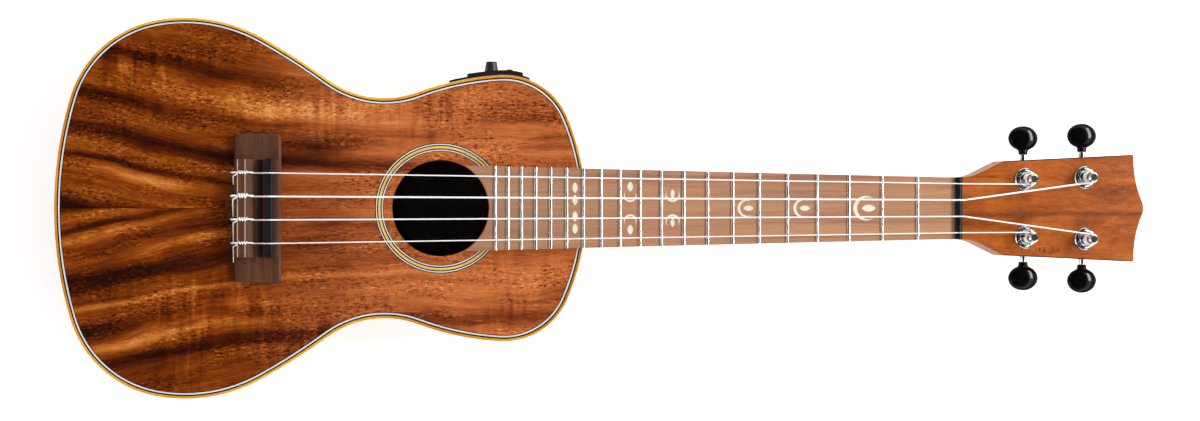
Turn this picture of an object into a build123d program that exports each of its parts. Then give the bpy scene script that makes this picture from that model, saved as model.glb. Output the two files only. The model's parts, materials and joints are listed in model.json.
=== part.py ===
from build123d import *
import math
import os

os.makedirs("parts", exist_ok=True)

# ------------------------------------------------------------------ driving dimensions, mm
# The ukulele lies on its back: +X runs from the tail to the headstock, +Y to the bass side,
# +Z out of the soundboard. Z = 0 is the plane of the back, X = 0 the middle of the length.

SCALE_LENGTH = 381.0        # concert scale, 15 inches
FRET_COUNT = 20
NUT_X = 198.5               # front face of the nut, where the scale starts

# body
TAIL_X = -310.2
BODY_DEPTH = 68.0
PLATE = 2.0                 # thickness of the soundboard and of the back
SIDE = 2.0                  # thickness of the bent sides
BINDING = 1.5               # width of the amber binding
BINDING_HEIGHT = 5.0
EDGE_ROUND = 0.7
INLAY_DEPTH = 1.0           # depth of the purfling and rosette channels
PURFLING_LINES = (("black", 0.8), ("white", 0.85), ("black", 0.4))
LINING_WIDTH = 5.0
LINING_HEIGHT = 8.0
SIDE_TOP = BODY_DEPTH - PLATE

# half outline from the tail to the neck, as tangent arcs (radius, degrees turned); a
# negative radius is the hollow of the waist, and one last arc closes on the centre line
OUTLINE_ARCS = (
    (219.0, 16.6),
    (62.0, 62.8),
    (88.7, 39.8),
    (368.0, 6.8),
    (-54.0, 56.5),
    (158.0, 17.2),
    (39.0, 70.0),
)

# soundhole and rosette
HOLE_X = NUT_X - 292.0
HOLE_RADIUS = 27.2
ROSETTE_INNER = 32.2
ROSETTE_LINES = (
    ("black", 0.35),
    ("white", 0.6),
    ("black", 0.65),
    ("maple", 1.35),
    ("black", 0.65),
    ("white", 0.6),
    ("black", 0.5),
)

# bracing and blocks
BRACE_WIDTH = 6.0
TOP_BRACE_HEIGHT = 9.0
BACK_BRACE_HEIGHT = 8.0
TRANSVERSE_BRACES = (HOLE_X + 42.0, HOLE_X - 42.0)
BACK_BRACES = (-60.0, -150.0, -240.0)
FAN_BRACE_LENGTH = 132.0
FAN_BRACE_X = -216.0
FAN_BRACES = ((0.0, 0.0), (30.0, 7.0), (-30.0, -7.0))
BRIDGE_PLATE_SIZE = (36.0, 92.0, 1.5)
NECK_BLOCK_LENGTH = 24.0
NECK_BLOCK_WIDTH = 56.0
TAIL_BLOCK_LENGTH = 14.0
TAIL_BLOCK_WIDTH = 46.0
BODY_END_X = -11.6          # where the outline meets the neck

# neck and fretboard
NUT_WIDTH = 34.9
TAPER = 0.0475              # widening of the fretboard per mm
FRETBOARD_THICKNESS = 5.0
FRETBOARD_TOP = BODY_DEPTH + FRETBOARD_THICKNESS
FRETBOARD_END_RADIUS = 27.6
FRET_WIDTH = 2.0
FRET_HEIGHT = 1.0
TANG_WIDTH = 0.55
TANG_DEPTH = 1.7
MARKER_DEPTH = 1.2
SCARF_X = 190.0             # joint between the neck shaft and the headstock piece
STACK_Z = 52.5              # glue line between the neck shaft and the heel block
HEEL_BOTTOM = 4.0
HEEL_CAP_THICKNESS = 2.0
TENON_SIZE = (16.0, 16.0, 42.0)
NECK_FLAT = 0.3             # flat share of the neck's rounded back
NECK_SECTIONS = (           # x, depth under the fretboard
    (SCARF_X, 13.2),
    (100.0, 14.2),
    (30.0, 15.4),
    (BODY_END_X - 4, 15.5),
)
HEEL_SECTIONS = (           # z, width, x of the rounded nose
    (BODY_DEPTH, 44.8, 54.0),
    (60.0, 43.6, 45.0),
    (STACK_Z, 41.0, 32.0),
    (42.0, 35.5, 17.0),
    (28.0, 30.0, 8.5),
    (HEEL_BOTTOM, 26.0, 4.0),
)

# nut, saddle and bridge
NUT_THICKNESS = 4.0
NUT_TOP = 75.6
NUT_SLOT_FLOOR = 74.7
BRIDGE_X = NUT_X - 394.5
BRIDGE_DEPTH = 26.0
BRIDGE_LENGTH = 83.5
BRIDGE_CENTRE_LENGTH = 55.1
WING_HEIGHT = 3.6
LIP_TOP = 75.4              # the bridge in front of the saddle
TIE_BLOCK_TOP = 76.2
CHANNEL_FLOOR = 70.4        # between the saddle and the tie block
BRIDGE_BACK_TOP = 73.6
SADDLE_X = NUT_X - 387.8
SADDLE_THICKNESS = 4.2
SADDLE_LENGTH = 54.3
SADDLE_TOP = 78.4
SADDLE_SLOT_FLOOR = 70.6
PICKUP_THICKNESS = 1.2
TIE_HOLE_RADIUS = 0.95
TIE_HOLE_Z = 72.9

# strings: name, diameter, y at the nut, y at the saddle
STRINGS = (
    ("g", 0.72, 13.9, 19.75),
    ("c", 1.00, 4.63, 6.58),
    ("e", 0.82, -4.63, -6.58),
    ("a", 0.65, -13.9, -19.75),
)

# headstock, in a plane tilted back from the nut
HEAD_TILT = 12.0
HEAD_FACE_Z = 71.5          # height of the veneer's face at the back of the nut
VENEER = 1.2
HEAD_THICKNESS = 13.0
HEAD_HALF_WIDTH = 17.7
HEAD_HOLLOW = (26.0, 25.0)  # radius and degrees turned, beside the nut
HEAD_SHOULDER = (25.5, 26.9)
HEAD_CORNER = (106.9, 31.0)
HEAD_TIP = 113.0
HEAD_CORNER_ROUND = 1.2
HEAD_ROOT_DEPTH = 11.8      # where the neck's section runs into the headstock

# tuning machines: string, distance along the headstock, post y, button y
TUNERS = (
    ("g", 39.1, 16.6, 40.5),
    ("c", 76.0, 17.7, 42.2),
    ("e", 76.0, -17.7, -42.2),
    ("a", 39.1, -16.6, -40.5),
)
POST_RADIUS = 3.0
POST_WAIST_RADIUS = 2.4
POST_WAIST = (5.4, 8.6)     # heights of the waist that the string winds on
POST_SHOULDER = (4.4, 9.8)  # heights where the full radius starts again
POST_TOP = 13.0
POST_BOTTOM = -21.5
STRING_HOLE_RADIUS = 0.9
STRING_HOLE_HEIGHT = 7.0
STRING_HEIGHT = 6.4         # where a string meets its post, above the headstock's face
BUSHING_RADIUS = 4.3
WASHER_RADIUS = 6.4
WASHER_THICKNESS = 1.0
BUSHING_HEX_RADIUS = 5.9
BUSHING_HEX_HEIGHT = 2.2
RUNNING_FIT = 0.05
GEAR_TEETH = 14
WORM_OFFSET = 6.5           # from the post axis to the worm axis
WORM_Z = -18.0
GEAR_PITCH_RADIUS = 4.2
GEAR_ROOT_RADIUS = 3.5
GEAR_TIP_RADIUS = 4.55
GEAR_WIDTH = 2.5
TOOTH_ROOT_WIDTH = 0.9
TOOTH_FLANK_ANGLE = 76
TOOTH_SINK = 0.2            # a tooth's root below the gear's root circle
WORM_PITCH = 2 * math.pi * GEAR_PITCH_RADIUS / GEAR_TEETH
WORM_CORE_RADIUS = 1.75
WORM_TURNS = 5
THREAD_SECTION = ((-0.15, -0.32), (0.85, -0.2), (0.85, 0.2), (-0.15, 0.32))
HOUSING_WALL = 1.2
HOUSING_WIDTH = 15.0
HOUSING_BACK = 7.0          # from the post axis towards the nut
HOUSING_FRONT = 11.4        # from the post axis towards the tip
HOUSING_DEPTH = 9.4
BUTTON_SIZE = (17.8, 14.4, 6.5)
STEM_RADIUS = 2.4
STEM_LENGTH = 4.0
SCREW_HEAD_RADIUS = 1.5
SCREW_HEAD_HEIGHT = 0.8
SCREW_PLACES = (-4.5, 9.5)  # along the headstock from each post

# preamp in the bass side of the upper bout
PREAMP_X = NUT_X - 264.25
PREAMP_LENGTH = 46.0
PREAMP_Z = BODY_DEPTH / 2
PREAMP_HEIGHT = 34.0
PANEL_THICKNESS = 2.0
TIER_THICKNESS = 1.8
TIER_SPAN = (NUT_X - 277.0, NUT_X - 245.0)
TIER_HEIGHT = 28.0
PREAMP_BOX_LENGTH = 43.0
PREAMP_BOX_HEIGHT = 28.0
PREAMP_BOX_INNER_Y = 44.0
PREAMP_WALL = 1.2
KNOB_X = NUT_X - 263.0
KNOB_BASE_Y = 79.2
KNOB_HEIGHT = 5.6
KNOB_BASE_RADIUS = 4.0
KNOB_TOP_RADIUS = 3.2
KNOB_SHAFT_RADIUS = 1.5
PUSH_X = NUT_X - 252.5
PUSH_Z = PREAMP_Z + 8.5
PUSH_RADIUS = 1.8
SCREEN_X = -53.5
SCREEN_Z = PREAMP_Z - 5.0
SCREEN_SIZE = (10.0, 12.0)
DRAWER_X = -83.2
DRAWER_SIZE = (5.0, 24.0, 21.0)
DRAWER_FRONT_Y = 74.4
SLOT_GAP = 0.2
CELL_RADIUS = 10.0
CELL_THICKNESS = 3.2
BOARD_Y = 66.0              # middle of the circuit board
BOARD_SIZE = (31.0, 1.6, 24.0)
BOARD_SHIFT = 4.5           # the board stands clear of the drawer
POTENTIOMETER_SIZE = (9.0, 3.2, 9.0)
SWITCH_SIZE = (5.0, 2.4, 5.0)
PUSH_TOP_Y = 79.9

# output socket in the tail
JACK_Z = BODY_DEPTH / 2
JACK_TUBE_RADIUS = 5.5
JACK_BORE_RADIUS = 3.25
JACK_TUBE_END = TAIL_X - 3.2
JACK_NUT_THICKNESS = 2.2
JACK_NUT_RADIUS = 8.0
JACK_BODY_RADIUS = 8.5
JACK_BODY_LENGTH = 14.0
JACK_BORE_LENGTH = 28.0


# ------------------------------------------------------------------ shared shapes


def body_outline(inset):
    """Plan of the body, moved inwards by inset all round."""
    with BuildSketch(mode=Mode.PRIVATE) as plan:
        with BuildLine():
            point = Vector(TAIL_X + inset, 0)
            heading = Vector(0, 1)
            for radius, turn in OUTLINE_ARCS:
                side = math.copysign(1, radius)
                arc = JernArc(point, heading, abs(radius) - side * inset, -side * turn)
                point = arc @ 1
                heading = arc % 1
            last_turn = 90 + math.degrees(math.atan2(heading.Y, heading.X))
            JernArc(point, heading, point.Y / heading.X, -last_turn)
            mirror(about=Plane.XZ)
        make_face()
    return plan.sketch


def body_ring(outer_inset, inner_inset):
    """Strip of the body's plan between two insets."""
    with BuildSketch(mode=Mode.PRIVATE) as ring:
        add(body_outline(outer_inset))
        add(body_outline(inner_inset), mode=Mode.SUBTRACT)
    return ring.sketch


def fret_x(number):
    """Place of a fret on the equal-tempered scale."""
    return NUT_X - SCALE_LENGTH * (1 - 2 ** (-number / 12))


def board_width(x):
    """Width of the fretboard and neck at x."""
    return NUT_WIDTH + TAPER * (NUT_X - x)


def neck_section(x, width, depth, flat):
    """Closed cross-section of the neck: a flat top, and a back that is flat in its middle."""
    station = Plane(origin=(x, 0, BODY_DEPTH), x_dir=(0, 1, 0), z_dir=(1, 0, 0))
    with BuildSketch(station, mode=Mode.PRIVATE) as cut:
        with BuildLine():
            Line((-width / 2, 0), (width / 2, 0))
            EllipticalCenterArc((flat / 2, 0), (width - flat) / 2, depth, 270, arc_size=90)
            Line((flat / 2, -depth), (-flat / 2, -depth))
            EllipticalCenterArc((-flat / 2, 0), (width - flat) / 2, depth, 180, arc_size=90)
        make_face()
    return cut.sketch


def heel_section(z, width, nose_x):
    """Horizontal slice of the heel: a half ellipse that stands on the body's end."""
    back_x = BODY_END_X - 6
    with BuildSketch(Plane.XY.offset(z), mode=Mode.PRIVATE) as cut:
        with BuildLine():
            Line((back_x, width / 2), (back_x, -width / 2))
            EllipticalCenterArc((back_x, 0), nose_x - back_x, width / 2, 270, arc_size=180)
        make_face()
    return cut.sketch


def head_outline():
    """Plan of the headstock in its own plane, from the nut to the tip."""
    with BuildSketch(mode=Mode.PRIVATE) as plan:
        with BuildLine():
            hollow = JernArc((0, HEAD_HALF_WIDTH), (1, 0), *HEAD_HOLLOW)
            Line(hollow @ 1, HEAD_SHOULDER)
            Line(HEAD_SHOULDER, HEAD_CORNER)
            scoop = ThreePointArc(HEAD_CORNER, (107.6, 18.5), (HEAD_TIP - 1.2, 4.6))
            ThreePointArc(scoop @ 1, (HEAD_TIP - 0.3, 2.3), (HEAD_TIP, 0))
            Line((0, 0), (0, HEAD_HALF_WIDTH))
            mirror(about=Plane.XZ)
        make_face()
        corners = plan.vertices().filter_by_position(Axis.X, 20, HEAD_CORNER[0])
        fillet(corners, HEAD_CORNER_ROUND)
    return plan.sketch


def leaf(length, width):
    """Pointed leaf between two arcs."""
    with BuildSketch(mode=Mode.PRIVATE) as plan:
        with BuildLine():
            ThreePointArc((-length / 2, 0), (0, width / 2), (length / 2, 0))
            ThreePointArc((-length / 2, 0), (0, -width / 2), (length / 2, 0))
        make_face()
    return plan.sketch


def crescent(radius):
    """Slender moon shape, open towards +X."""
    with BuildSketch(mode=Mode.PRIVATE) as plan:
        Circle(radius)
        with Locations((radius * 0.2, 0)):
            Circle(radius * 0.88, mode=Mode.SUBTRACT)
    return plan.sketch


def write(part, name):
    """Label one finished piece and write it as its own STEP file."""
    part.label = name
    export_step(part, f"parts/{name}.step")


HEAD = Plane(
    origin=(NUT_X + NUT_THICKNESS, 0, HEAD_FACE_Z),
    x_dir=(math.cos(math.radians(HEAD_TILT)), 0, -math.sin(math.radians(HEAD_TILT))),
    z_dir=(math.sin(math.radians(HEAD_TILT)), 0, math.cos(math.radians(HEAD_TILT))),
)
PURFLING = sum(width for colour, width in PURFLING_LINES)
ROSETTE_OUTER = ROSETTE_INNER + sum(width for colour, width in ROSETTE_LINES)
HALVES = (("treble", Keep.TOP), ("bass", Keep.BOTTOM))


# ------------------------------------------------------------------ soundboard and back

with BuildPart() as soundboard:
    with BuildSketch(Plane.XY.offset(SIDE_TOP)):
        add(body_outline(BINDING))
    extrude(amount=PLATE - INLAY_DEPTH)
    with BuildSketch(Plane.XY.offset(BODY_DEPTH - INLAY_DEPTH)):
        add(body_outline(BINDING + PURFLING))
        with Locations((HOLE_X, 0)):
            Circle(ROSETTE_OUTER, mode=Mode.SUBTRACT)
            Circle(ROSETTE_INNER)
    extrude(amount=INLAY_DEPTH)
    with BuildSketch(Plane.XY.offset(SIDE_TOP)):
        with Locations((HOLE_X, 0)):
            Circle(HOLE_RADIUS)
    extrude(amount=PLATE, mode=Mode.SUBTRACT)

with BuildPart() as back:
    with BuildSketch():
        add(body_outline(BINDING))
    extrude(amount=PLATE)

for side_name, keep in HALVES:
    with BuildPart() as soundboard_half:
        add(soundboard.part)
        split(bisect_by=Plane.XZ, keep=keep)
    write(soundboard_half.part, f"soundboard_{side_name}")
    with BuildPart() as back_half:
        add(back.part)
        split(bisect_by=Plane.XZ, keep=keep)
    write(back_half.part, f"back_{side_name}")


# ------------------------------------------------------------------ binding, purfling and rosette

with BuildPart() as top_binding:
    with BuildSketch(Plane.XY.offset(BODY_DEPTH - BINDING_HEIGHT)):
        add(body_ring(0, BINDING))
    extrude(amount=BINDING_HEIGHT)
    top_face = top_binding.faces().sort_by(Axis.Z)[-1]
    fillet(top_face.outer_wire().edges(), EDGE_ROUND)
write(top_binding.part, "top_binding")

with BuildPart() as back_binding:
    with BuildSketch():
        add(body_ring(0, BINDING))
    extrude(amount=BINDING_HEIGHT)
    bottom_face = back_binding.faces().sort_by(Axis.Z)[0]
    fillet(bottom_face.outer_wire().edges(), EDGE_ROUND)
write(back_binding.part, "back_binding")


def inlaid_lines(colour):
    """All the purfling and rosette strips of one colour, on the plane z = 0."""
    with BuildSketch(mode=Mode.PRIVATE) as strips:
        inset = BINDING
        for strip_colour, width in PURFLING_LINES:
            if strip_colour == colour:
                add(body_ring(inset, inset + width))
            inset += width
        radius = ROSETTE_INNER
        for strip_colour, width in ROSETTE_LINES:
            if strip_colour == colour:
                with BuildSketch(mode=Mode.PRIVATE) as hoop:
                    with Locations((HOLE_X, 0)):
                        Circle(radius + width)
                        Circle(radius, mode=Mode.SUBTRACT)
                add(hoop.sketch)
            radius += width
    return strips.sketch


for colour, node in (("black", "black_lines"), ("white", "white_lines"), ("maple", "rosette_maple")):
    with BuildPart() as lines:
        with BuildSketch(Plane.XY.offset(BODY_DEPTH - INLAY_DEPTH)):
            add(inlaid_lines(colour))
        extrude(amount=INLAY_DEPTH)
    write(lines.part, node)


# ------------------------------------------------------------------ sides, linings and blocks

tenon_centre = (BODY_END_X - TENON_SIZE[0] / 2 + 2, 0, HEEL_BOTTOM + 4 + TENON_SIZE[2] / 2)

with BuildPart() as sides:
    with BuildSketch(Plane.XY.offset(PLATE)):
        add(body_ring(BINDING, SIDE))
    extrude(amount=SIDE_TOP - PLATE)
    with BuildSketch(Plane.XY.offset(BINDING_HEIGHT)):
        add(body_ring(0, BINDING))
    extrude(amount=BODY_DEPTH - 2 * BINDING_HEIGHT)
    with Locations(tenon_centre):
        Box(*TENON_SIZE, mode=Mode.SUBTRACT)
    with Locations((PREAMP_X, 70, PREAMP_Z)):
        Box(PREAMP_BOX_LENGTH, 20, PREAMP_BOX_HEIGHT, mode=Mode.SUBTRACT)
    with Locations(Location((TAIL_X, 0, JACK_Z), (0, 90, 0))):
        Cylinder(JACK_TUBE_RADIUS, 10, mode=Mode.SUBTRACT)

for side_name, keep in HALVES:
    with BuildPart() as side_half:
        add(sides.part)
        split(bisect_by=Plane.XZ, keep=keep)
    write(side_half.part, f"side_{side_name}")

with BuildPart() as neck_block:
    with BuildSketch(Plane.XY.offset(PLATE)):
        with Locations((BODY_END_X - SIDE - NECK_BLOCK_LENGTH / 2, 0)):
            Rectangle(NECK_BLOCK_LENGTH + 6, NECK_BLOCK_WIDTH)
        add(body_outline(SIDE), mode=Mode.INTERSECT)
    extrude(amount=SIDE_TOP - PLATE)
    with Locations(tenon_centre):
        Box(*TENON_SIZE, mode=Mode.SUBTRACT)
write(neck_block.part, "neck_block")

with BuildPart() as tail_block:
    with BuildSketch(Plane.XY.offset(PLATE)):
        with Locations((TAIL_X + SIDE + TAIL_BLOCK_LENGTH / 2 - 3, 0)):
            Rectangle(TAIL_BLOCK_LENGTH + 6, TAIL_BLOCK_WIDTH)
        add(body_outline(SIDE), mode=Mode.INTERSECT)
    extrude(amount=SIDE_TOP - PLATE)
    with Locations(Location((TAIL_X, 0, JACK_Z), (0, 90, 0))):
        Cylinder(JACK_TUBE_RADIUS, 60, mode=Mode.SUBTRACT)
write(tail_block.part, "tail_block")

with BuildPart() as linings:
    for lining_z in (PLATE, SIDE_TOP - LINING_HEIGHT):
        with BuildSketch(Plane.XY.offset(lining_z)):
            add(body_ring(SIDE, SIDE + LINING_WIDTH))
        extrude(amount=LINING_HEIGHT)
    add(neck_block.part, mode=Mode.SUBTRACT)
    add(tail_block.part, mode=Mode.SUBTRACT)
    with Locations(tenon_centre):
        Box(*TENON_SIZE, mode=Mode.SUBTRACT)
write(linings.part, "linings")


# ------------------------------------------------------------------ braces

with BuildPart() as bridge_plate:
    with Locations((BRIDGE_X, 0, SIDE_TOP - BRIDGE_PLATE_SIZE[2] / 2)):
        Box(*BRIDGE_PLATE_SIZE)
write(bridge_plate.part, "bridge_plate")

with BuildPart() as top_braces:
    with BuildSketch(Plane.XY.offset(SIDE_TOP - TOP_BRACE_HEIGHT)):
        with Locations(*[(x, 0) for x in TRANSVERSE_BRACES]):
            Rectangle(BRACE_WIDTH, 240)
        add(body_outline(SIDE + LINING_WIDTH), mode=Mode.INTERSECT)
    extrude(amount=TOP_BRACE_HEIGHT)
    for brace_y, angle in FAN_BRACES:
        with Locations(Location((FAN_BRACE_X, brace_y, SIDE_TOP - 3), (0, 0, -angle))):
            Box(FAN_BRACE_LENGTH, BRACE_WIDTH - 1, 6)
    add(bridge_plate.part, mode=Mode.SUBTRACT)
write(top_braces.part, "top_braces")

with BuildPart() as back_braces:
    with BuildSketch(Plane.XY.offset(PLATE)):
        with Locations(*[(x, 0) for x in BACK_BRACES]):
            Rectangle(BRACE_WIDTH, 240)
        add(body_outline(SIDE + LINING_WIDTH), mode=Mode.INTERSECT)
    extrude(amount=BACK_BRACE_HEIGHT)
    crests = back_braces.edges().group_by(Axis.Z)[-1].filter_by(Axis.Y)
    chamfer(crests, 1.5)
write(back_braces.part, "back_braces")


# ------------------------------------------------------------------ neck, heel and headstock

with BuildPart() as body_block:
    with BuildSketch():
        add(body_outline(0))
    extrude(amount=BODY_DEPTH)

with BuildPart() as neck_blank:
    for x, depth in NECK_SECTIONS:
        add(neck_section(x, board_width(x), depth, NECK_FLAT * board_width(x)))
    loft()
    for z, width, nose_x in HEEL_SECTIONS:
        add(heel_section(z, width, nose_x))
    loft()
    add(body_block.part, mode=Mode.SUBTRACT)

with BuildPart() as neck_shaft:
    add(neck_blank.part)
    split(bisect_by=Plane.XY.offset(STACK_Z), keep=Keep.TOP)
write(neck_shaft.part, "neck_shaft")

with BuildPart() as heel:
    add(neck_blank.part)
    split(bisect_by=Plane.XY.offset(STACK_Z), keep=Keep.BOTTOM)
    with Locations(tenon_centre):
        Box(*TENON_SIZE)
write(heel.part, "heel")

with BuildPart() as heel_cap:
    cap_section = HEEL_SECTIONS[-1]
    add(heel_section(HEEL_BOTTOM - HEEL_CAP_THICKNESS, cap_section[1], cap_section[2]))
    extrude(amount=HEEL_CAP_THICKNESS)
    add(body_block.part, mode=Mode.SUBTRACT)
write(heel_cap.part, "heel_cap")

nut_seat = Pos(NUT_X + NUT_THICKNESS - 30, 0, BODY_DEPTH + 20) * Box(60, 80, 40)

with BuildPart() as headstock:
    with BuildSketch(HEAD.offset(-VENEER - HEAD_THICKNESS)):
        add(head_outline())
    extrude(amount=HEAD_THICKNESS)
    scarf_width = board_width(SCARF_X)
    add(neck_section(SCARF_X, scarf_width, NECK_SECTIONS[0][1], NECK_FLAT * scarf_width))
    root_width = 2 * HEAD_HALF_WIDTH
    add(neck_section(NUT_X + 7.5, root_width, HEAD_ROOT_DEPTH, root_width - 5))
    loft()
    add(nut_seat, mode=Mode.SUBTRACT)
    with BuildSketch(HEAD.offset(-VENEER - HEAD_THICKNESS)):
        with Locations(*[(s, y) for string, s, y, button_y in TUNERS]):
            Circle(BUSHING_RADIUS)
    extrude(amount=HEAD_THICKNESS, mode=Mode.SUBTRACT)
write(headstock.part, "headstock")

with BuildPart() as headstock_veneer:
    with BuildSketch(HEAD.offset(-VENEER)):
        add(head_outline())
        with Locations(*[(s, y) for string, s, y, button_y in TUNERS]):
            Circle(BUSHING_RADIUS, mode=Mode.SUBTRACT)
    extrude(amount=VENEER)
    add(nut_seat, mode=Mode.SUBTRACT)
write(headstock_veneer.part, "headstock_veneer")


# ------------------------------------------------------------------ fretboard, frets and markers

with BuildPart() as fretboard_blank:
    with BuildSketch(Plane.XY.offset(BODY_DEPTH)):
        with BuildLine():
            Polyline(
                (NUT_X, board_width(NUT_X) / 2),
                (NUT_X, -board_width(NUT_X) / 2),
                (HOLE_X, -board_width(HOLE_X) / 2),
                (HOLE_X, board_width(HOLE_X) / 2),
                close=True,
            )
        make_face()
        with Locations((HOLE_X, 0)):
            Circle(FRETBOARD_END_RADIUS, mode=Mode.SUBTRACT)
    extrude(amount=FRETBOARD_THICKNESS)

with BuildPart() as frets:
    for number in range(1, FRET_COUNT + 1):
        length = board_width(fret_x(number))
        section = Plane(origin=(fret_x(number), 0, FRETBOARD_TOP), x_dir=(1, 0, 0), z_dir=(0, 1, 0))
        with BuildSketch(section):
            with BuildLine():
                crown = ThreePointArc((-FRET_WIDTH / 2, 0), (0, -FRET_HEIGHT), (FRET_WIDTH / 2, 0))
                Polyline(
                    crown @ 1,
                    (TANG_WIDTH / 2, 0),
                    (TANG_WIDTH / 2, TANG_DEPTH),
                    (-TANG_WIDTH / 2, TANG_DEPTH),
                    (-TANG_WIDTH / 2, 0),
                    crown @ 0,
                )
            make_face()
        extrude(amount=length / 2, both=True)
write(frets.part, "frets")


def place_marker(number, y, shape, angle):
    """Set one pearl shape in the middle of a fret's space."""
    middle = (fret_x(number) + fret_x(number - 1)) / 2
    with Locations(Location((middle, y, 0), (0, 0, angle))):
        add(shape)


with BuildPart() as fret_markers:
    with BuildSketch(Plane.XY.offset(FRETBOARD_TOP - MARKER_DEPTH)):
        place_marker(3, 0, crescent(7.0), 0)
        with Locations((1.8, 0)):
            place_marker(3, 0, leaf(8.0, 4.0), 0)
        for number, radius in ((5, 5.2), (7, 4.9)):
            place_marker(number, 0, crescent(radius), 0)
            with Locations((1.4, 0)):
                place_marker(number, 0, leaf(6.0, 3.0), 0)
        for side in (1, -1):
            place_marker(10, side * 7.4, crescent(4.0), side * 90)
            place_marker(10, side * 8.2, leaf(5.0, 2.4), 90)
            place_marker(12, side * 7.0, crescent(3.6), side * 90)
            place_marker(12, side * 12.2, leaf(5.6, 3.2), 90)
            place_marker(15, side * 4.6, leaf(6.0, 3.0), 90)
            place_marker(15, side * 11.6, leaf(6.0, 3.0), 90)
    extrude(amount=MARKER_DEPTH)
write(fret_markers.part, "fret_markers")

with BuildPart() as fretboard:
    add(fretboard_blank.part)
    add(frets.part, mode=Mode.SUBTRACT)
    add(fret_markers.part, mode=Mode.SUBTRACT)
write(fretboard.part, "fretboard")


# ------------------------------------------------------------------ nut


def string_y(string, x):
    """Sideways place of a string between the nut and the saddle."""
    name, diameter, nut_y, saddle_y = string
    share = (NUT_X - x) / (NUT_X - SADDLE_X)
    return nut_y + share * (saddle_y - nut_y)


with BuildPart() as nut:
    with BuildSketch(Plane.XZ):
        with BuildLine():
            Polyline(
                (NUT_X, FRETBOARD_TOP + 1.2),
                (NUT_X, BODY_DEPTH),
                (NUT_X + NUT_THICKNESS, BODY_DEPTH),
                (NUT_X + NUT_THICKNESS, NUT_TOP - 1.2),
            )
            ThreePointArc(
                (NUT_X + NUT_THICKNESS, NUT_TOP - 1.2),
                (NUT_X + 1.8, NUT_TOP),
                (NUT_X, FRETBOARD_TOP + 1.2),
            )
        make_face()
    extrude(amount=NUT_WIDTH / 2, both=True)
    for string in STRINGS:
        name, diameter, nut_y, saddle_y = string
        slot_width = diameter + 0.2
        with Locations((NUT_X + NUT_THICKNESS / 2, nut_y, NUT_SLOT_FLOOR + 2)):
            Box(NUT_THICKNESS + 2, slot_width, 4, mode=Mode.SUBTRACT)
write(nut.part, "nut")


# ------------------------------------------------------------------ bridge, saddle and pickup

bridge_front = BRIDGE_X + BRIDGE_DEPTH / 2
bridge_back = BRIDGE_X - BRIDGE_DEPTH / 2
tie_block_front = bridge_front - 13.5

with BuildPart() as bridge:
    with BuildSketch(Plane.XY.offset(BODY_DEPTH)):
        with Locations((BRIDGE_X, 0)):
            RectangleRounded(BRIDGE_DEPTH, BRIDGE_LENGTH, 2.5)
    extrude(amount=WING_HEIGHT)
    wing_rims = bridge.edges().group_by(Axis.Z)[-1]
    fillet(wing_rims, 1.4)
    with BuildSketch(Plane.XZ):
        with BuildLine():
            Polyline(
                (bridge_front, BODY_DEPTH),
                (bridge_front, 72.2),
                (bridge_front - 1.6, LIP_TOP),
                (bridge_front - 9.4, LIP_TOP),
                (bridge_front - 10.0, CHANNEL_FLOOR),
                (tie_block_front, CHANNEL_FLOOR),
                (tie_block_front - 6.0, TIE_BLOCK_TOP),
                (tie_block_front - 10.7, TIE_BLOCK_TOP),
                (bridge_back, BRIDGE_BACK_TOP),
                (bridge_back, BODY_DEPTH),
                close=True,
            )
        make_face()
    extrude(amount=BRIDGE_CENTRE_LENGTH / 2, both=True)
    with Locations((SADDLE_X, 0, SADDLE_SLOT_FLOOR + 5)):
        Box(SADDLE_THICKNESS, BRIDGE_CENTRE_LENGTH, 10, mode=Mode.SUBTRACT)
    for string in STRINGS:
        with Locations(Location((BRIDGE_X - 9, string[3], TIE_HOLE_Z), (0, 90, 0))):
            Cylinder(TIE_HOLE_RADIUS, 24, mode=Mode.SUBTRACT)
write(bridge.part, "bridge")

with BuildPart() as saddle:
    with BuildSketch(Plane.XZ):
        with BuildLine():
            foot_z = SADDLE_SLOT_FLOOR + PICKUP_THICKNESS
            back_x = SADDLE_X - SADDLE_THICKNESS / 2
            front_x = SADDLE_X + SADDLE_THICKNESS / 2
            Polyline(
                (back_x, foot_z),
                (front_x, foot_z),
                (front_x, SADDLE_TOP - 0.8),
                (SADDLE_X + 1.2, SADDLE_TOP),
                (SADDLE_X + 0.1, SADDLE_TOP),
                (back_x, SADDLE_TOP - 1.9),
                close=True,
            )
        make_face()
    extrude(amount=SADDLE_LENGTH / 2, both=True)
    crown_edges = saddle.edges().filter_by(Axis.Y).group_by(Axis.Z)[-1]
    fillet(crown_edges, 0.5)
write(saddle.part, "saddle")

with BuildPart() as piezo_pickup:
    with Locations((SADDLE_X, 0, SADDLE_SLOT_FLOOR + PICKUP_THICKNESS / 2)):
        Box(SADDLE_THICKNESS, SADDLE_LENGTH, PICKUP_THICKNESS)
write(piezo_pickup.part, "piezo_pickup")


# ------------------------------------------------------------------ strings

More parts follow.
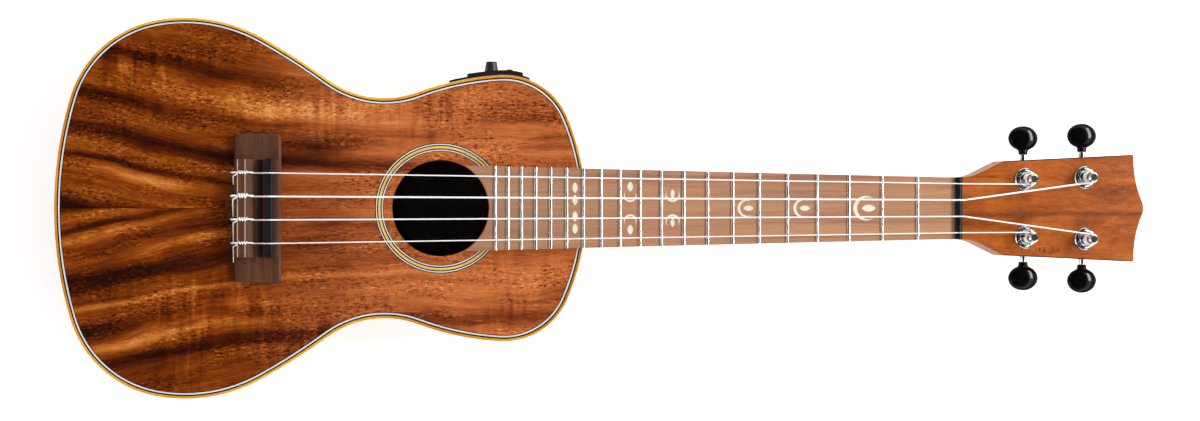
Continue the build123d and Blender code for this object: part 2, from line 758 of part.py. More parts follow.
for string, tuner in zip(STRINGS, TUNERS):
    name, diameter, nut_y, saddle_y = string
    radius = diameter / 2
    inner_side = -math.copysign(1, tuner[2])
    wrap_radius = POST_WAIST_RADIUS + radius + 0.1
    post_touch = HEAD.from_local_coords((tuner[1], tuner[2] + inner_side * wrap_radius, STRING_HEIGHT))
    return_y = saddle_y + 0.5 * diameter
    route = (
        post_touch,
        (NUT_X + NUT_THICKNESS + 0.8, nut_y, NUT_SLOT_FLOOR + radius + 0.02),
        (SADDLE_X + 0.4, saddle_y, SADDLE_TOP + radius + 0.12),
        (tie_block_front - 1.0, saddle_y, TIE_HOLE_Z),
        (bridge_back - 1.6, saddle_y, TIE_HOLE_Z),
        (bridge_back - 1.6, return_y, TIE_BLOCK_TOP + radius + 0.3),
        (tie_block_front - 5.2, return_y, TIE_BLOCK_TOP + radius + 0.3),
        (tie_block_front - 1.9, return_y, CHANNEL_FLOOR + 3.9),
    )
    with BuildPart() as gut:
        with BuildLine() as path:
            FilletPolyline(*route, radius=(3.0, 2.0, 2.5, 1.4, 1.4, 1.6))
        with BuildSketch(Plane(origin=path.line @ 0, z_dir=path.line % 0)):
            Circle(radius)
        sweep()
    route_length = sum(edge.length for edge in path.edges())
    expected = route_length * math.pi * radius**2
    print(f"string_{name}: length {route_length:.1f}, volume {gut.part.volume:.2f} of {expected:.2f}")
    write(gut.part, f"string_{name}")


# ------------------------------------------------------------------ tuning machines

housing_centre = (HOUSING_FRONT - HOUSING_BACK) / 2
housing_length = HOUSING_FRONT + HOUSING_BACK
head_back = -VENEER - HEAD_THICKNESS

with BuildPart() as tuner_housings:
    for string, s, y, button_y in TUNERS:
        with BuildSketch(HEAD.offset(head_back)):
            with Locations((s + housing_centre, y)):
                RectangleRounded(housing_length, HOUSING_WIDTH, 4.0)
        extrude(amount=-HOUSING_DEPTH)
    rims = tuner_housings.faces().sort_by(Axis(HEAD.origin, HEAD.z_dir))[0:4].edges()
    fillet(rims, 1.0)
    for string, s, y, button_y in TUNERS:
        with BuildSketch(HEAD.offset(head_back)):
            with Locations((s + housing_centre, y)):
                RectangleRounded(housing_length - 2 * HOUSING_WALL, HOUSING_WIDTH - 2 * HOUSING_WALL, 2.8)
        extrude(amount=-(HOUSING_DEPTH - HOUSING_WALL), mode=Mode.SUBTRACT)
        outward = math.copysign(1, y)
        bore_start = HEAD.from_local_coords((s + WORM_OFFSET, y + outward * 4, WORM_Z))
        with BuildSketch(Plane(origin=bore_start, x_dir=HEAD.x_dir, z_dir=(0, outward, 0))):
            Circle(WORM_CORE_RADIUS + RUNNING_FIT)
        extrude(amount=6, mode=Mode.SUBTRACT)
write(tuner_housings.part, "tuner_housings")

with BuildPart() as tuner_bushings:
    for string, s, y, button_y in TUNERS:
        with BuildSketch(HEAD.offset(head_back)):
            with Locations((s, y)):
                Circle(BUSHING_RADIUS)
        extrude(amount=-head_back)
        with BuildSketch(HEAD):
            with Locations((s, y)):
                Circle(WASHER_RADIUS)
        extrude(amount=WASHER_THICKNESS)
        with BuildSketch(HEAD.offset(WASHER_THICKNESS)):
            with Locations((s, y)):
                RegularPolygon(BUSHING_HEX_RADIUS, 6)
        extrude(amount=BUSHING_HEX_HEIGHT)
    for string, s, y, button_y in TUNERS:
        with BuildSketch(HEAD.offset(head_back)):
            with Locations((s, y)):
                Circle(POST_RADIUS + RUNNING_FIT)
        extrude(amount=-head_back + 5, mode=Mode.SUBTRACT)
write(tuner_bushings.part, "tuner_bushings")

with BuildPart() as tuner_screws:
    for string, s, y, button_y in TUNERS:
        inward = -math.copysign(1, y)
        for offset_s in SCREW_PLACES:
            with BuildSketch(HEAD.offset(head_back)):
                with Locations((s + offset_s, y + inward * (HOUSING_WIDTH / 2 + 1.6))):
                    Circle(SCREW_HEAD_RADIUS)
            extrude(amount=-SCREW_HEAD_HEIGHT)
write(tuner_screws.part, "tuner_screws")

for string, s, y, button_y in TUNERS:
    outward = math.copysign(1, y)
    post_plane = Plane(origin=HEAD.from_local_coords((s, y, 0)), x_dir=HEAD.x_dir, z_dir=HEAD.z_dir)
    with BuildPart() as post:
        side_view = Plane(origin=post_plane.origin, x_dir=HEAD.x_dir, z_dir=(0, -1, 0))
        with BuildSketch(side_view):
            with BuildLine():
                Polyline(
                    (0, POST_BOTTOM),
                    (POST_RADIUS, POST_BOTTOM),
                    (POST_RADIUS, POST_SHOULDER[0]),
                    (POST_WAIST_RADIUS, POST_WAIST[0]),
                    (POST_WAIST_RADIUS, POST_WAIST[1]),
                    (POST_RADIUS, POST_SHOULDER[1]),
                    (POST_RADIUS, POST_TOP - 1.0),
                    (POST_RADIUS - 1.0, POST_TOP),
                    (0, POST_TOP),
                    close=True,
                )
            make_face()
        revolve(axis=Axis(post_plane.origin, post_plane.z_dir))
        tooth_height = GEAR_TIP_RADIUS - GEAR_ROOT_RADIUS + TOOTH_SINK
        with BuildSketch(post_plane.offset(WORM_Z - GEAR_WIDTH / 2)):
            Circle(GEAR_ROOT_RADIUS)
            with PolarLocations(GEAR_ROOT_RADIUS - TOOTH_SINK, GEAR_TEETH):
                with Locations(Location((tooth_height / 2, 0, 0), (0, 0, -90))):
                    Trapezoid(TOOTH_ROOT_WIDTH, tooth_height, TOOTH_FLANK_ANGLE)
        extrude(amount=GEAR_WIDTH)
        hole_start = post_plane.from_local_coords((-5, 0, STRING_HOLE_HEIGHT))
        with BuildSketch(Plane(origin=hole_start, z_dir=HEAD.x_dir)):
            Circle(STRING_HOLE_RADIUS)
        extrude(amount=10, mode=Mode.SUBTRACT)
    write(post.part, f"post_{string}")

    # the worm's axis runs sideways; its own X points at the gear
    worm_origin = HEAD.from_local_coords((s + WORM_OFFSET, y, WORM_Z))
    worm_plane = Plane(origin=worm_origin, x_dir=-HEAD.x_dir, z_dir=(0, outward, 0))
    thread_length = WORM_TURNS * WORM_PITCH
    shaft_end = abs(button_y) - abs(y) - BUTTON_SIZE[1] / 2 + 4.0
    thread_base = worm_plane.offset(-thread_length / 2)
    thread_path = thread_base.location * Helix(WORM_PITCH, thread_length, WORM_CORE_RADIUS)
    thread_start = Plane(origin=thread_path @ 0, x_dir=worm_plane.x_dir, z_dir=thread_path % 0)
    with BuildPart() as worm_shaft:
        with BuildSketch(thread_start):
            with BuildLine():
                Polyline(*THREAD_SECTION, close=True)
            make_face()
        sweep(path=thread_path, is_frenet=True)
        with BuildSketch(worm_plane.offset(-thread_length / 2 - 0.6)):
            Circle(WORM_CORE_RADIUS)
        extrude(amount=thread_length / 2 + 0.6 + shaft_end)
    write(worm_shaft.part, f"worm_shaft_{string}")

    button_centre = HEAD.from_local_coords((s + WORM_OFFSET, button_y, WORM_Z))
    button_plane = Plane(origin=button_centre, x_dir=HEAD.x_dir, z_dir=HEAD.z_dir)
    stem_plane = Plane(origin=button_centre, x_dir=HEAD.x_dir, z_dir=(0, -outward, 0))
    with BuildPart() as button:
        with BuildSketch(button_plane.offset(-BUTTON_SIZE[2] / 2)):
            Ellipse(BUTTON_SIZE[0] / 2, BUTTON_SIZE[1] / 2)
        extrude(amount=BUTTON_SIZE[2])
        fillet(button.edges().filter_by(GeomType.ELLIPSE), 2.6)
        with BuildSketch(stem_plane):
            Circle(STEM_RADIUS)
        extrude(amount=BUTTON_SIZE[1] / 2 + STEM_LENGTH)
        with BuildSketch(stem_plane.offset(BUTTON_SIZE[1] / 2 - 4.0)):
            Circle(WORM_CORE_RADIUS)
        extrude(amount=STEM_LENGTH + 5.0, mode=Mode.SUBTRACT)
    write(button.part, f"button_{string}")


# ------------------------------------------------------------------ preamp

tier_centre_x = sum(TIER_SPAN) / 2
tier_length = TIER_SPAN[1] - TIER_SPAN[0]

with BuildPart() as preamp_panel:
    with BuildSketch(Plane.XY.offset(PREAMP_Z - PREAMP_HEIGHT / 2)):
        add(body_ring(-PANEL_THICKNESS, 0))
        with Locations((PREAMP_X, 70)):
            Rectangle(PREAMP_LENGTH, 40, mode=Mode.INTERSECT)
    extrude(amount=PREAMP_HEIGHT)
    with BuildSketch(Plane.XY.offset(PREAMP_Z - TIER_HEIGHT / 2)):
        add(body_ring(-PANEL_THICKNESS - TIER_THICKNESS, -PANEL_THICKNESS))
        with Locations((tier_centre_x, 70)):
            Rectangle(tier_length, 40, mode=Mode.INTERSECT)
    extrude(amount=TIER_HEIGHT)
    fillet(preamp_panel.edges().filter_by(Axis.Y, tolerance=15).group_by(SortBy.LENGTH)[0], 0.4)
    with Locations((KNOB_X, 75, PREAMP_Z)):
        Box(2 * KNOB_SHAFT_RADIUS + 0.2, 20, 2 * KNOB_SHAFT_RADIUS + 0.2, mode=Mode.SUBTRACT)
    with Locations(Location((PUSH_X, 75, PUSH_Z), (90, 0, 0))):
        Cylinder(PUSH_RADIUS + RUNNING_FIT, 20, mode=Mode.SUBTRACT)
    with Locations((SCREEN_X, 75, SCREEN_Z)):
        Box(SCREEN_SIZE[0], 20, SCREEN_SIZE[1], mode=Mode.SUBTRACT)
    with Locations((DRAWER_X, 75, PREAMP_Z)):
        Box(DRAWER_SIZE[0] + 2 * SLOT_GAP, 20, DRAWER_SIZE[2] + 2 * SLOT_GAP, mode=Mode.SUBTRACT)
write(preamp_panel.part, "preamp_panel")

with BuildPart() as preamp_housing:
    with BuildSketch(Plane.XY.offset(PREAMP_Z - PREAMP_BOX_HEIGHT / 2)):
        add(body_outline(0))
        with Locations((PREAMP_X, PREAMP_BOX_INNER_Y + 20)):
            Rectangle(PREAMP_BOX_LENGTH, 40, mode=Mode.INTERSECT)
    extrude(amount=PREAMP_BOX_HEIGHT)
    with Locations((PREAMP_X, PREAMP_BOX_INNER_Y + PREAMP_WALL + 20, PREAMP_Z)):
        Box(
            PREAMP_BOX_LENGTH - 2 * PREAMP_WALL,
            40,
            PREAMP_BOX_HEIGHT - 2 * PREAMP_WALL,
            mode=Mode.SUBTRACT,
        )
write(preamp_housing.part, "preamp_housing")

board_face_y = BOARD_Y + BOARD_SIZE[1] / 2
potentiometer_y = board_face_y + POTENTIOMETER_SIZE[1] / 2
with BuildPart() as circuit_board:
    with Locations((PREAMP_X + BOARD_SHIFT, BOARD_Y, PREAMP_Z)):
        Box(*BOARD_SIZE)
    with Locations((KNOB_X, potentiometer_y, PREAMP_Z)):
        Box(*POTENTIOMETER_SIZE)
    with Locations(Location((KNOB_X, potentiometer_y, PREAMP_Z), (90, 0, 0))):
        Cylinder(KNOB_SHAFT_RADIUS + RUNNING_FIT, 12, mode=Mode.SUBTRACT)
    with Locations((PUSH_X, board_face_y + SWITCH_SIZE[1] / 2, PUSH_Z)):
        Box(*SWITCH_SIZE)
write(circuit_board.part, "circuit_board")

with BuildPart() as preamp_screen:
    with BuildSketch(Plane.XY.offset(SCREEN_Z - SCREEN_SIZE[1] / 2)):
        add(body_ring(-PANEL_THICKNESS - TIER_THICKNESS + 0.2, 0))
        with Locations((SCREEN_X, 75)):
            Rectangle(SCREEN_SIZE[0], 20, mode=Mode.INTERSECT)
    extrude(amount=SCREEN_SIZE[1])
write(preamp_screen.part, "preamp_screen")

shaft_foot = board_face_y + 0.7 - KNOB_BASE_Y
with BuildPart() as volume_knob:
    with BuildSketch(Plane(origin=(KNOB_X, KNOB_BASE_Y, PREAMP_Z), x_dir=(1, 0, 0), z_dir=(0, 0, 1))):
        with BuildLine():
            Polyline(
                (0, shaft_foot),
                (KNOB_SHAFT_RADIUS, shaft_foot),
                (KNOB_SHAFT_RADIUS, 0),
                (KNOB_BASE_RADIUS, 0),
                (KNOB_TOP_RADIUS, KNOB_HEIGHT - 0.4),
                (KNOB_TOP_RADIUS - 0.4, KNOB_HEIGHT),
                (0, KNOB_HEIGHT),
                close=True,
            )
        make_face()
    revolve(axis=Axis((KNOB_X, 0, PREAMP_Z), (0, 1, 0)))
write(volume_knob.part, "volume_knob")

push_foot_y = board_face_y + SWITCH_SIZE[1] + 0.8
with BuildPart() as tuner_push_button:
    with BuildSketch(Plane(origin=(PUSH_X, push_foot_y, PUSH_Z), x_dir=(1, 0, 0), z_dir=(0, 1, 0))):
        Circle(PUSH_RADIUS)
    extrude(amount=PUSH_TOP_Y - push_foot_y)
    fillet(tuner_push_button.faces().sort_by(Axis.Y)[-1].edges(), 0.5)
write(tuner_push_button.part, "tuner_push_button")

drawer_centre_y = DRAWER_FRONT_Y - DRAWER_SIZE[1] / 2
cell_y = drawer_centre_y - 0.8
with BuildPart() as battery_drawer:
    with Locations((DRAWER_X, drawer_centre_y, PREAMP_Z)):
        Box(*DRAWER_SIZE)
    with Locations(Location((DRAWER_X + 0.6, cell_y, PREAMP_Z), (0, 90, 0))):
        Cylinder(CELL_RADIUS + 0.1, CELL_THICKNESS + 0.8, mode=Mode.SUBTRACT)
write(battery_drawer.part, "battery_drawer")

with BuildPart() as battery_cell:
    with Locations(Location((DRAWER_X + 0.2, cell_y, PREAMP_Z), (0, 90, 0))):
        Cylinder(CELL_RADIUS, CELL_THICKNESS)
write(battery_cell.part, "battery_cell")


# ------------------------------------------------------------------ output socket

with BuildPart() as output_jack:
    with BuildSketch(Plane(origin=(JACK_TUBE_END, 0, JACK_Z), z_dir=(1, 0, 0))):
        Circle(JACK_TUBE_RADIUS)
    extrude(amount=TAIL_X + SIDE + TAIL_BLOCK_LENGTH - JACK_TUBE_END)
    with BuildSketch(Plane(origin=(TAIL_X + SIDE + TAIL_BLOCK_LENGTH, 0, JACK_Z), z_dir=(1, 0, 0))):
        Circle(JACK_BODY_RADIUS)
    extrude(amount=JACK_BODY_LENGTH)
    with BuildSketch(Plane(origin=(JACK_TUBE_END, 0, JACK_Z), z_dir=(1, 0, 0))):
        Circle(JACK_BORE_RADIUS)
    extrude(amount=JACK_BORE_LENGTH, mode=Mode.SUBTRACT)
write(output_jack.part, "output_jack")

with BuildPart() as jack_nut:
    with BuildSketch(Plane(origin=(TAIL_X, 0, JACK_Z), z_dir=(-1, 0, 0))):
        RegularPolygon(JACK_NUT_RADIUS, 6)
        Circle(JACK_TUBE_RADIUS, mode=Mode.SUBTRACT)
    extrude(amount=JACK_NUT_THICKNESS)
write(jack_nut.part, "jack_nut")
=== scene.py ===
import json
import math

import bpy
from mathutils import Matrix, Vector


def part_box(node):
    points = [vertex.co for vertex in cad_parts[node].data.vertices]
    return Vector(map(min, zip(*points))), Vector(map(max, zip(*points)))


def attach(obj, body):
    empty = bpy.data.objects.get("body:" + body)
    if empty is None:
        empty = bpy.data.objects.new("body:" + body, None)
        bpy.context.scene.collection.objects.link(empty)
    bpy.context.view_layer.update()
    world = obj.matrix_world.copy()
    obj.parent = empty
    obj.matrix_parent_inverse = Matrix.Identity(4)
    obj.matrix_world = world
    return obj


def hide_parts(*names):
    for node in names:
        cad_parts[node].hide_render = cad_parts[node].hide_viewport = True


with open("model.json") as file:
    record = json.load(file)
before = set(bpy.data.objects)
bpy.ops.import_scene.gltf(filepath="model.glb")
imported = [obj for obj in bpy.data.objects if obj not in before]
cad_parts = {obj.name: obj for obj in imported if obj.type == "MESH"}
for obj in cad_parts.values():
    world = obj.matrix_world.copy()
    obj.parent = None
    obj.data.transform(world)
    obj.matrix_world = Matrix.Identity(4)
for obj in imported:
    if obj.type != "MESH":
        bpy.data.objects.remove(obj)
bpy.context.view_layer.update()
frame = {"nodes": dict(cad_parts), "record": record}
MM = 0.001
record = frame["record"]

# ------------------------------------------------------------------ camera, light and floor

IMAGE_WIDTH = 1200
FOCAL_PIXELS = 2660
SENSOR_WIDTH = 36.0
CAMERA_EYE = Vector((-72.5, -1.3, 1574.0)) * MM
CAMERA_TARGET = Vector((-3.5, -1.3, 74.0)) * MM
FLOOR_HALF = 6.0


def aim(location, target, up):
    """World matrix of something that looks along its own -Z from location to target."""
    forward = (target - location).normalized()
    right = forward.cross(up).normalized()
    top = right.cross(forward)
    turn = Matrix((right, top, -forward)).transposed().to_4x4()
    return Matrix.Translation(location) @ turn


camera_data = bpy.data.cameras.new("camera")
camera_data.sensor_width = SENSOR_WIDTH
camera_data.lens = FOCAL_PIXELS * SENSOR_WIDTH / IMAGE_WIDTH
camera = bpy.data.objects.new("camera", camera_data)
camera.matrix_world = aim(CAMERA_EYE, CAMERA_TARGET, Vector((0, 1, 0)))
bpy.context.scene.collection.objects.link(camera)
bpy.context.scene.camera = camera
bpy.context.scene.view_settings.view_transform = "Standard"


def srgb(red, green, blue):
    """A colour given as 0-255 sRGB values, in linear light with alpha."""
    linear = []
    for value in (red, green, blue):
        share = value / 255
        linear.append(share / 12.92 if share <= 0.04045 else ((share + 0.055) / 1.055) ** 2.4)
    return (*linear, 1.0)


def grey(level):
    return (level, level, level, 1.0)


def add_light(name, location, target, size, power):
    """A soft rectangular studio light."""
    data = bpy.data.lights.new(name, "AREA")
    data.shape = "RECTANGLE"
    data.size, data.size_y = size
    data.energy = power
    light = bpy.data.objects.new(name, data)
    light.matrix_world = aim(Vector(location), Vector(target), Vector((0, 1, 0.01)))
    bpy.context.scene.collection.objects.link(light)


add_light("key_light", (1.85, 0.45, 1.3), (0, 0, 0.05), (0.35, 1.1), 38)
add_light("fill_light", (-1.3, -0.9, 1.5), (0, 0, 0.05), (1.4, 1.4), 8)


# ------------------------------------------------------------------ node material tools


def add_node(tree, kind, inputs=None, **attributes):
    """A shader node with its settings, and its inputs set or linked."""
    made = tree.nodes.new("ShaderNode" + kind)
    for key, value in attributes.items():
        setattr(made, key, value)
    for key, value in (inputs or {}).items():
        if isinstance(value, bpy.types.NodeSocket):
            tree.links.new(value, made.inputs[key])
        else:
            made.inputs[key].default_value = value
    return made


def maths(tree, operation, first, second=0.0, third=0.0):
    return add_node(tree, "Math", {0: first, 1: second, 2: third}, operation=operation).outputs[0]


def combine(tree, x, y, z):
    return add_node(tree, "CombineXYZ", {0: x, 1: y, 2: z}).outputs[0]


def noise(tree, vector, scale=1.0, detail=2.0, roughness=0.5, distortion=0.0):
    settings = {
        "Vector": vector,
        "Scale": scale,
        "Detail": detail,
        "Roughness": roughness,
        "Distortion": distortion,
    }
    return add_node(tree, "TexNoise", settings).outputs["Fac"]


def stretched(tree, a, b, c, scales, detail=2.0, roughness=0.5, distortion=0.0):
    """Noise whose features are 1 / scales millimetres long in each direction."""
    scaled = [maths(tree, "MULTIPLY", value, factor) for value, factor in zip((a, b, c), scales)]
    return noise(tree, combine(tree, *scaled), 1.0, detail, roughness, distortion)


def between(tree, value, low, high, new_low=0.0, new_high=1.0):
    """Smooth step from new_low at low to new_high at high."""
    settings = {0: value, 1: low, 2: high, 3: new_low, 4: new_high}
    return add_node(tree, "MapRange", settings, interpolation_type="SMOOTHSTEP").outputs[0]


def bell(tree, value, centre, half_width):
    """1 at the centre, falling smoothly to 0 at half_width on each side."""
    distance = maths(tree, "ABSOLUTE", maths(tree, "SUBTRACT", value, centre))
    return between(tree, distance, 0.0, half_width, 1.0, 0.0)


def ramp(tree, factor, *stops):
    """Colour ramp through (position, colour) stops."""
    made = add_node(tree, "ValToRGB", {"Fac": factor})
    band = made.color_ramp
    band.elements[0].position, band.elements[0].color = stops[0]
    band.elements[1].position, band.elements[1].color = stops[-1]
    for position, colour in stops[1:-1]:
        band.elements.new(position).color = colour
    return made.outputs["Color"]


def mix(tree, factor, first, second, blend="MIX"):
    made = add_node(tree, "Mix", {0: factor, 6: first, 7: second}, data_type="RGBA", blend_type=blend)
    return made.outputs[2]


def bump(tree, height, strength, distance):
    settings = {"Height": height, "Strength": strength, "Distance": distance}
    return add_node(tree, "Bump", settings).outputs["Normal"]


def weighted(tree, base, *terms):
    """base plus each value less its middle of one half, times its weight."""
    total = base
    for value, weight in terms:
        total = maths(tree, "MULTIPLY_ADD", maths(tree, "SUBTRACT", value, 0.5), weight, total)
    return total


def new_material(name, **settings):
    """A material and its tree, with constant values set on the shader's own sockets."""
    material = bpy.data.materials.new(name)
    material.use_nodes = True
    tree = material.node_tree
    shader = tree.nodes["Principled BSDF"]
    for key, value in settings.items():
        shader.inputs[key.replace("_", " ")].default_value = value
    return material, tree, shader


def millimetres(tree):
    """Object coordinates in millimetres, as separate x, y and z sockets."""
    place = add_node(tree, "TexCoord").outputs["Object"]
    scaled = add_node(tree, "VectorMath", {0: place, 3: 1 / MM}, operation="SCALE")
    return add_node(tree, "SeparateXYZ", {0: scaled.outputs[0]}).outputs


def connect(tree, shader, colour, roughness=None, normal=None):
    tree.links.new(colour, shader.inputs["Base Color"])
    if roughness is not None:
        tree.links.new(roughness, shader.inputs["Roughness"])
    if normal is not None:
        tree.links.new(normal, shader.inputs["Normal"])


world = bpy.data.worlds.new("studio")
world.use_nodes = True
sky = world.node_tree
direction = add_node(sky, "SeparateXYZ", {0: add_node(sky, "TexCoord").outputs["Generated"]}).outputs
elevation = direction[2]
# pale down to the horizon, a ring of soft boxes above that is brighter on the headstock's side,
# and a dark ceiling over the camera
sky_colour = ramp(
    sky,
    elevation,
    (0.0, grey(1.0)),
    (0.24, grey(1.0)),
    (0.33, grey(0.30)),
    (0.43, grey(0.30)),
    (0.50, grey(1.60)),
    (0.67, grey(1.60)),
    (0.75, grey(0.03)),
)
towards_head = between(sky, direction[0], -0.55, 0.45, 0.35, 1.75)
ring_tint = combine(sky, towards_head, towards_head, towards_head)
ring_light = mix(sky, between(sky, elevation, 0.30, 0.42), grey(1.0), ring_tint)
lit_sky = mix(sky, 1.0, sky_colour, ring_light, "MULTIPLY")
sky.links.new(lit_sky, sky.nodes["Background"].inputs["Color"])
bpy.context.scene.world = world


# ------------------------------------------------------------------ wood

GLOSS = {"Roughness": 0.16, "Coat_Weight": 0.25, "Coat_Roughness": 0.04}


def wood(name, tones, scales, strengths, curl=0.0, period=6.0, along="x", **settings):
    """Wood with grain along x, along y, or round the rim of the body.

    tones are the dark, middle and light colours; scales the streaks per millimetre across the grain,
    broad and fine; strengths how much broad streaks, fine fibres and open pores show; curl the share
    of cross-grain figure, whose bands are period millimetres apart.
    """
    material, tree, shader = new_material(name, **settings)
    x, y, z = millimetres(tree)
    length, width, depth = {"x": (x, y, z), "y": (y, x, z), "rim": (x, z, y)}[along]
    rim = along == "rim"

    def grain(a, b, long_scale, cross_scale, *shape):
        depth_scale = long_scale if rim else cross_scale
        return stretched(tree, a, b, depth, (long_scale, cross_scale, depth_scale), *shape)

    broad_scale, fine_scale = scales
    sway = grain(length, width, 0.012, 0.03, 1.0)
    bent = maths(tree, "MULTIPLY_ADD", sway, 9.0, width)
    broad = grain(length, bent, 0.006, broad_scale, 3.0, 0.6)
    fibre = grain(length, bent, 0.03, fine_scale, 3.0, 0.65)
    pore = between(tree, grain(length, width, 0.33, 2.1, 2.0, 0.6), 0.57, 0.68)
    cross = grain(length, width, 1 / period, 0.02 if rim else 0.05, 2.0, 0.5, 0.6)
    tone = weighted(tree, 0.5, (broad, strengths[0]), (fibre, strengths[1]), (cross, curl))
    tone = maths(tree, "MULTIPLY_ADD", pore, -strengths[2], tone)
    dark, middle, light = tones
    colour = ramp(tree, tone, (0.15, srgb(*dark)), (0.5, srgb(*middle)), (0.85, srgb(*light)))
    roughness = settings.get("Roughness", 0.4)
    rough = between(tree, fibre, 0.3, 0.7, roughness * 0.85, roughness * 1.25)
    relief = maths(tree, "MULTIPLY_ADD", pore, -1.0, fibre)
    connect(tree, shader, colour, rough, bump(tree, relief, 0.25, 0.00008))
    return material, tree, shader, colour, (x, y, z)


# dark and pale streaks of the soundboard: sideways place and half width where they pass the
# bridge, strength, and the stretch of the length that they fade in and out over
TOP_STREAKS = (
    (24.5, 6.0, -0.34, -420, -60),
    (9.5, 2.6, -0.30, -420, -150),
    (16.5, 4.5, 0.14, -420, -60),
    (4.0, 4.5, 0.26, -330, -215),
    (45.0, 5.5, -0.30, -330, -225),
    (57.0, 10.0, 0.30, -285, -100),
    (71.0, 6.0, -0.26, -420, -120),
    (-9.5, 4.5, 0.22, -275, -190),
    (-3.0, 3.0, -0.08, -275, -190),
    (-22.0, 11.0, -0.38, -420, -160),
    (-37.5, 3.0, 0.26, -420, -60),
    (-49.0, 6.5, -0.28, -420, -190),
    (-59.5, 5.0, 0.22, -420, -150),
    (-70.0, 7.0, -0.32, -420, -60),
    (33.0, 9.0, -0.30, -196, -140),
    (-62.0, 8.0, -0.22, -150, 0),
    (52.0, 8.0, -0.16, -75, 0),
)
STREAK_CONTRAST = 1.25
STREAK_OVERRUN = 1.15


def streaked_koa(name):
    """Koa of the soundboard: two mirrored halves whose grain closes on the centre towards the bridge."""
    material, tree, shader = new_material(name, **GLOSS)
    x, y, z = millimetres(tree)
    half = maths(tree, "SIGN", y)
    outwards = maths(tree, "ABSOLUTE", y)
    drift = between(tree, x, -330.0, -170.0, -24.0, 0.0)
    sway = stretched(tree, x, outwards, half, (0.014, 0.03, 3.0), 2.0)
    across = maths(tree, "ADD", outwards, drift)
    across = maths(tree, "MULTIPLY_ADD", maths(tree, "SUBTRACT", sway, 0.5), 11.0, across)
    signed = maths(tree, "MULTIPLY", across, half)

    broad = stretched(tree, x, across, half, (0.010, 0.075, 7.0), 3.0, 0.55)
    narrow = stretched(tree, x, across, half, (0.022, 0.33, 5.0), 3.0, 0.6)
    fibre = stretched(tree, x, across, half, (0.16, 1.3, 9.0), 2.0, 0.6)
    patch = stretched(tree, x, y, half, (0.030, 0.045, 2.0), 2.0, 0.5)
    tone = weighted(tree, 0.46, (broad, 0.75), (narrow, 0.42), (fibre, 0.42), (patch, 0.35))
    for place, half_width, strength, start, end in TOP_STREAKS:
        middle = (start + end) / 2
        window = bell(tree, x, middle, (end - start) / 2 * STREAK_OVERRUN)
        streak = maths(tree, "MULTIPLY", bell(tree, signed, place, half_width), window)
        tone = maths(tree, "MULTIPLY_ADD", streak, strength * STREAK_CONTRAST, tone)

    # curl: bands across the grain, strongest towards the edges
    flame = stretched(tree, x, y, half, (0.19, 0.028, 4.0), 2.0, 0.55, 0.5)
    flame_place = stretched(tree, x, y, half, (0.016, 0.022, 6.0), 1.0)
    near_edge = between(tree, outwards, 26.0, 62.0, 0.25, 1.0)
    flame_share = maths(tree, "MULTIPLY", between(tree, flame_place, 0.40, 0.62), near_edge)
    flame_tone = maths(tree, "MULTIPLY", maths(tree, "SUBTRACT", flame, 0.5), flame_share)
    tone = maths(tree, "MULTIPLY_ADD", flame_tone, 0.85, tone)

    # open pores: short dark dashes and pale flecks that gather in clouds
    dash = stretched(tree, x, y, half, (0.36, 0.90, 1.0), 2.5, 0.65, 0.4)
    cloud = between(tree, stretched(tree, x, across, half, (0.02, 0.06, 8.0), 2.0), 0.40, 0.60)
    fleck = maths(tree, "MULTIPLY", between(tree, dash, 0.34, 0.46, 1.0, 0.0), cloud)
    pore = maths(tree, "MULTIPLY", between(tree, dash, 0.54, 0.66), cloud)
    seam = between(tree, outwards, 0.12, 0.45, 1.0, 0.0)
    tone = maths(tree, "MULTIPLY_ADD", fleck, 0.24, tone)
    tone = maths(tree, "MULTIPLY_ADD", pore, -0.36, tone)
    tone = maths(tree, "MULTIPLY_ADD", seam, -0.12, tone)

    lower = ramp(
        tree,
        tone,
        (0.02, srgb(36, 9, 2)),
        (0.26, srgb(78, 27, 3)),
        (0.46, srgb(118, 50, 6)),
        (0.64, srgb(154, 76, 18)),
        (0.82, srgb(196, 116, 46)),
        (1.0, srgb(228, 160, 86)),
    )
    upper = ramp(
        tree,
        tone,
        (0.0, srgb(72, 26, 8)),
        (0.28, srgb(130, 60, 27)),
        (0.48, srgb(182, 98, 50)),
        (0.66, srgb(208, 120, 66)),
        (1.0, srgb(242, 168, 108)),
    )
    colour = mix(tree, between(tree, x, -215.0, -110.0), lower, upper)
    rough = between(tree, fibre, 0.3, 0.7, 0.13, 0.22)
    relief = maths(tree, "MULTIPLY_ADD", pore, -1.0, fibre)
    connect(tree, shader, colour, rough, bump(tree, relief, 0.18, 0.00006))
    return material


KOA_TONES = ((62, 24, 8), (134, 70, 26), (196, 124, 62))


def back_koa(name):
    """Koa of the back; its raw face inside the body is painted dark as shade."""
    material, tree, shader, colour, place = wood(
        name, KOA_TONES, (0.10, 0.9), (0.9, 0.5, 0.22), 0.55, 7.0, **GLOSS
    )
    # painted shade: the face inside the body is darkened nearly to black
    inside = between(tree, place[2], 1.6, 1.9)
    dark = mix(tree, 0.88, colour, srgb(12, 8, 6))
    connect(tree, shader, mix(tree, inside, colour, dark))
    return material


# the headstock's long edges: where they start, and half the width there and at the tip's corners
SHOULDER_X = 227.5
CORNER_X = 307.1
SHOULDER_Y = 26.9
CORNER_Y = 31.0
EDGE_SPREAD = (CORNER_Y - SHOULDER_Y) / (CORNER_X - SHOULDER_X)
EDGE_AT_ORIGIN = SHOULDER_Y - EDGE_SPREAD * SHOULDER_X
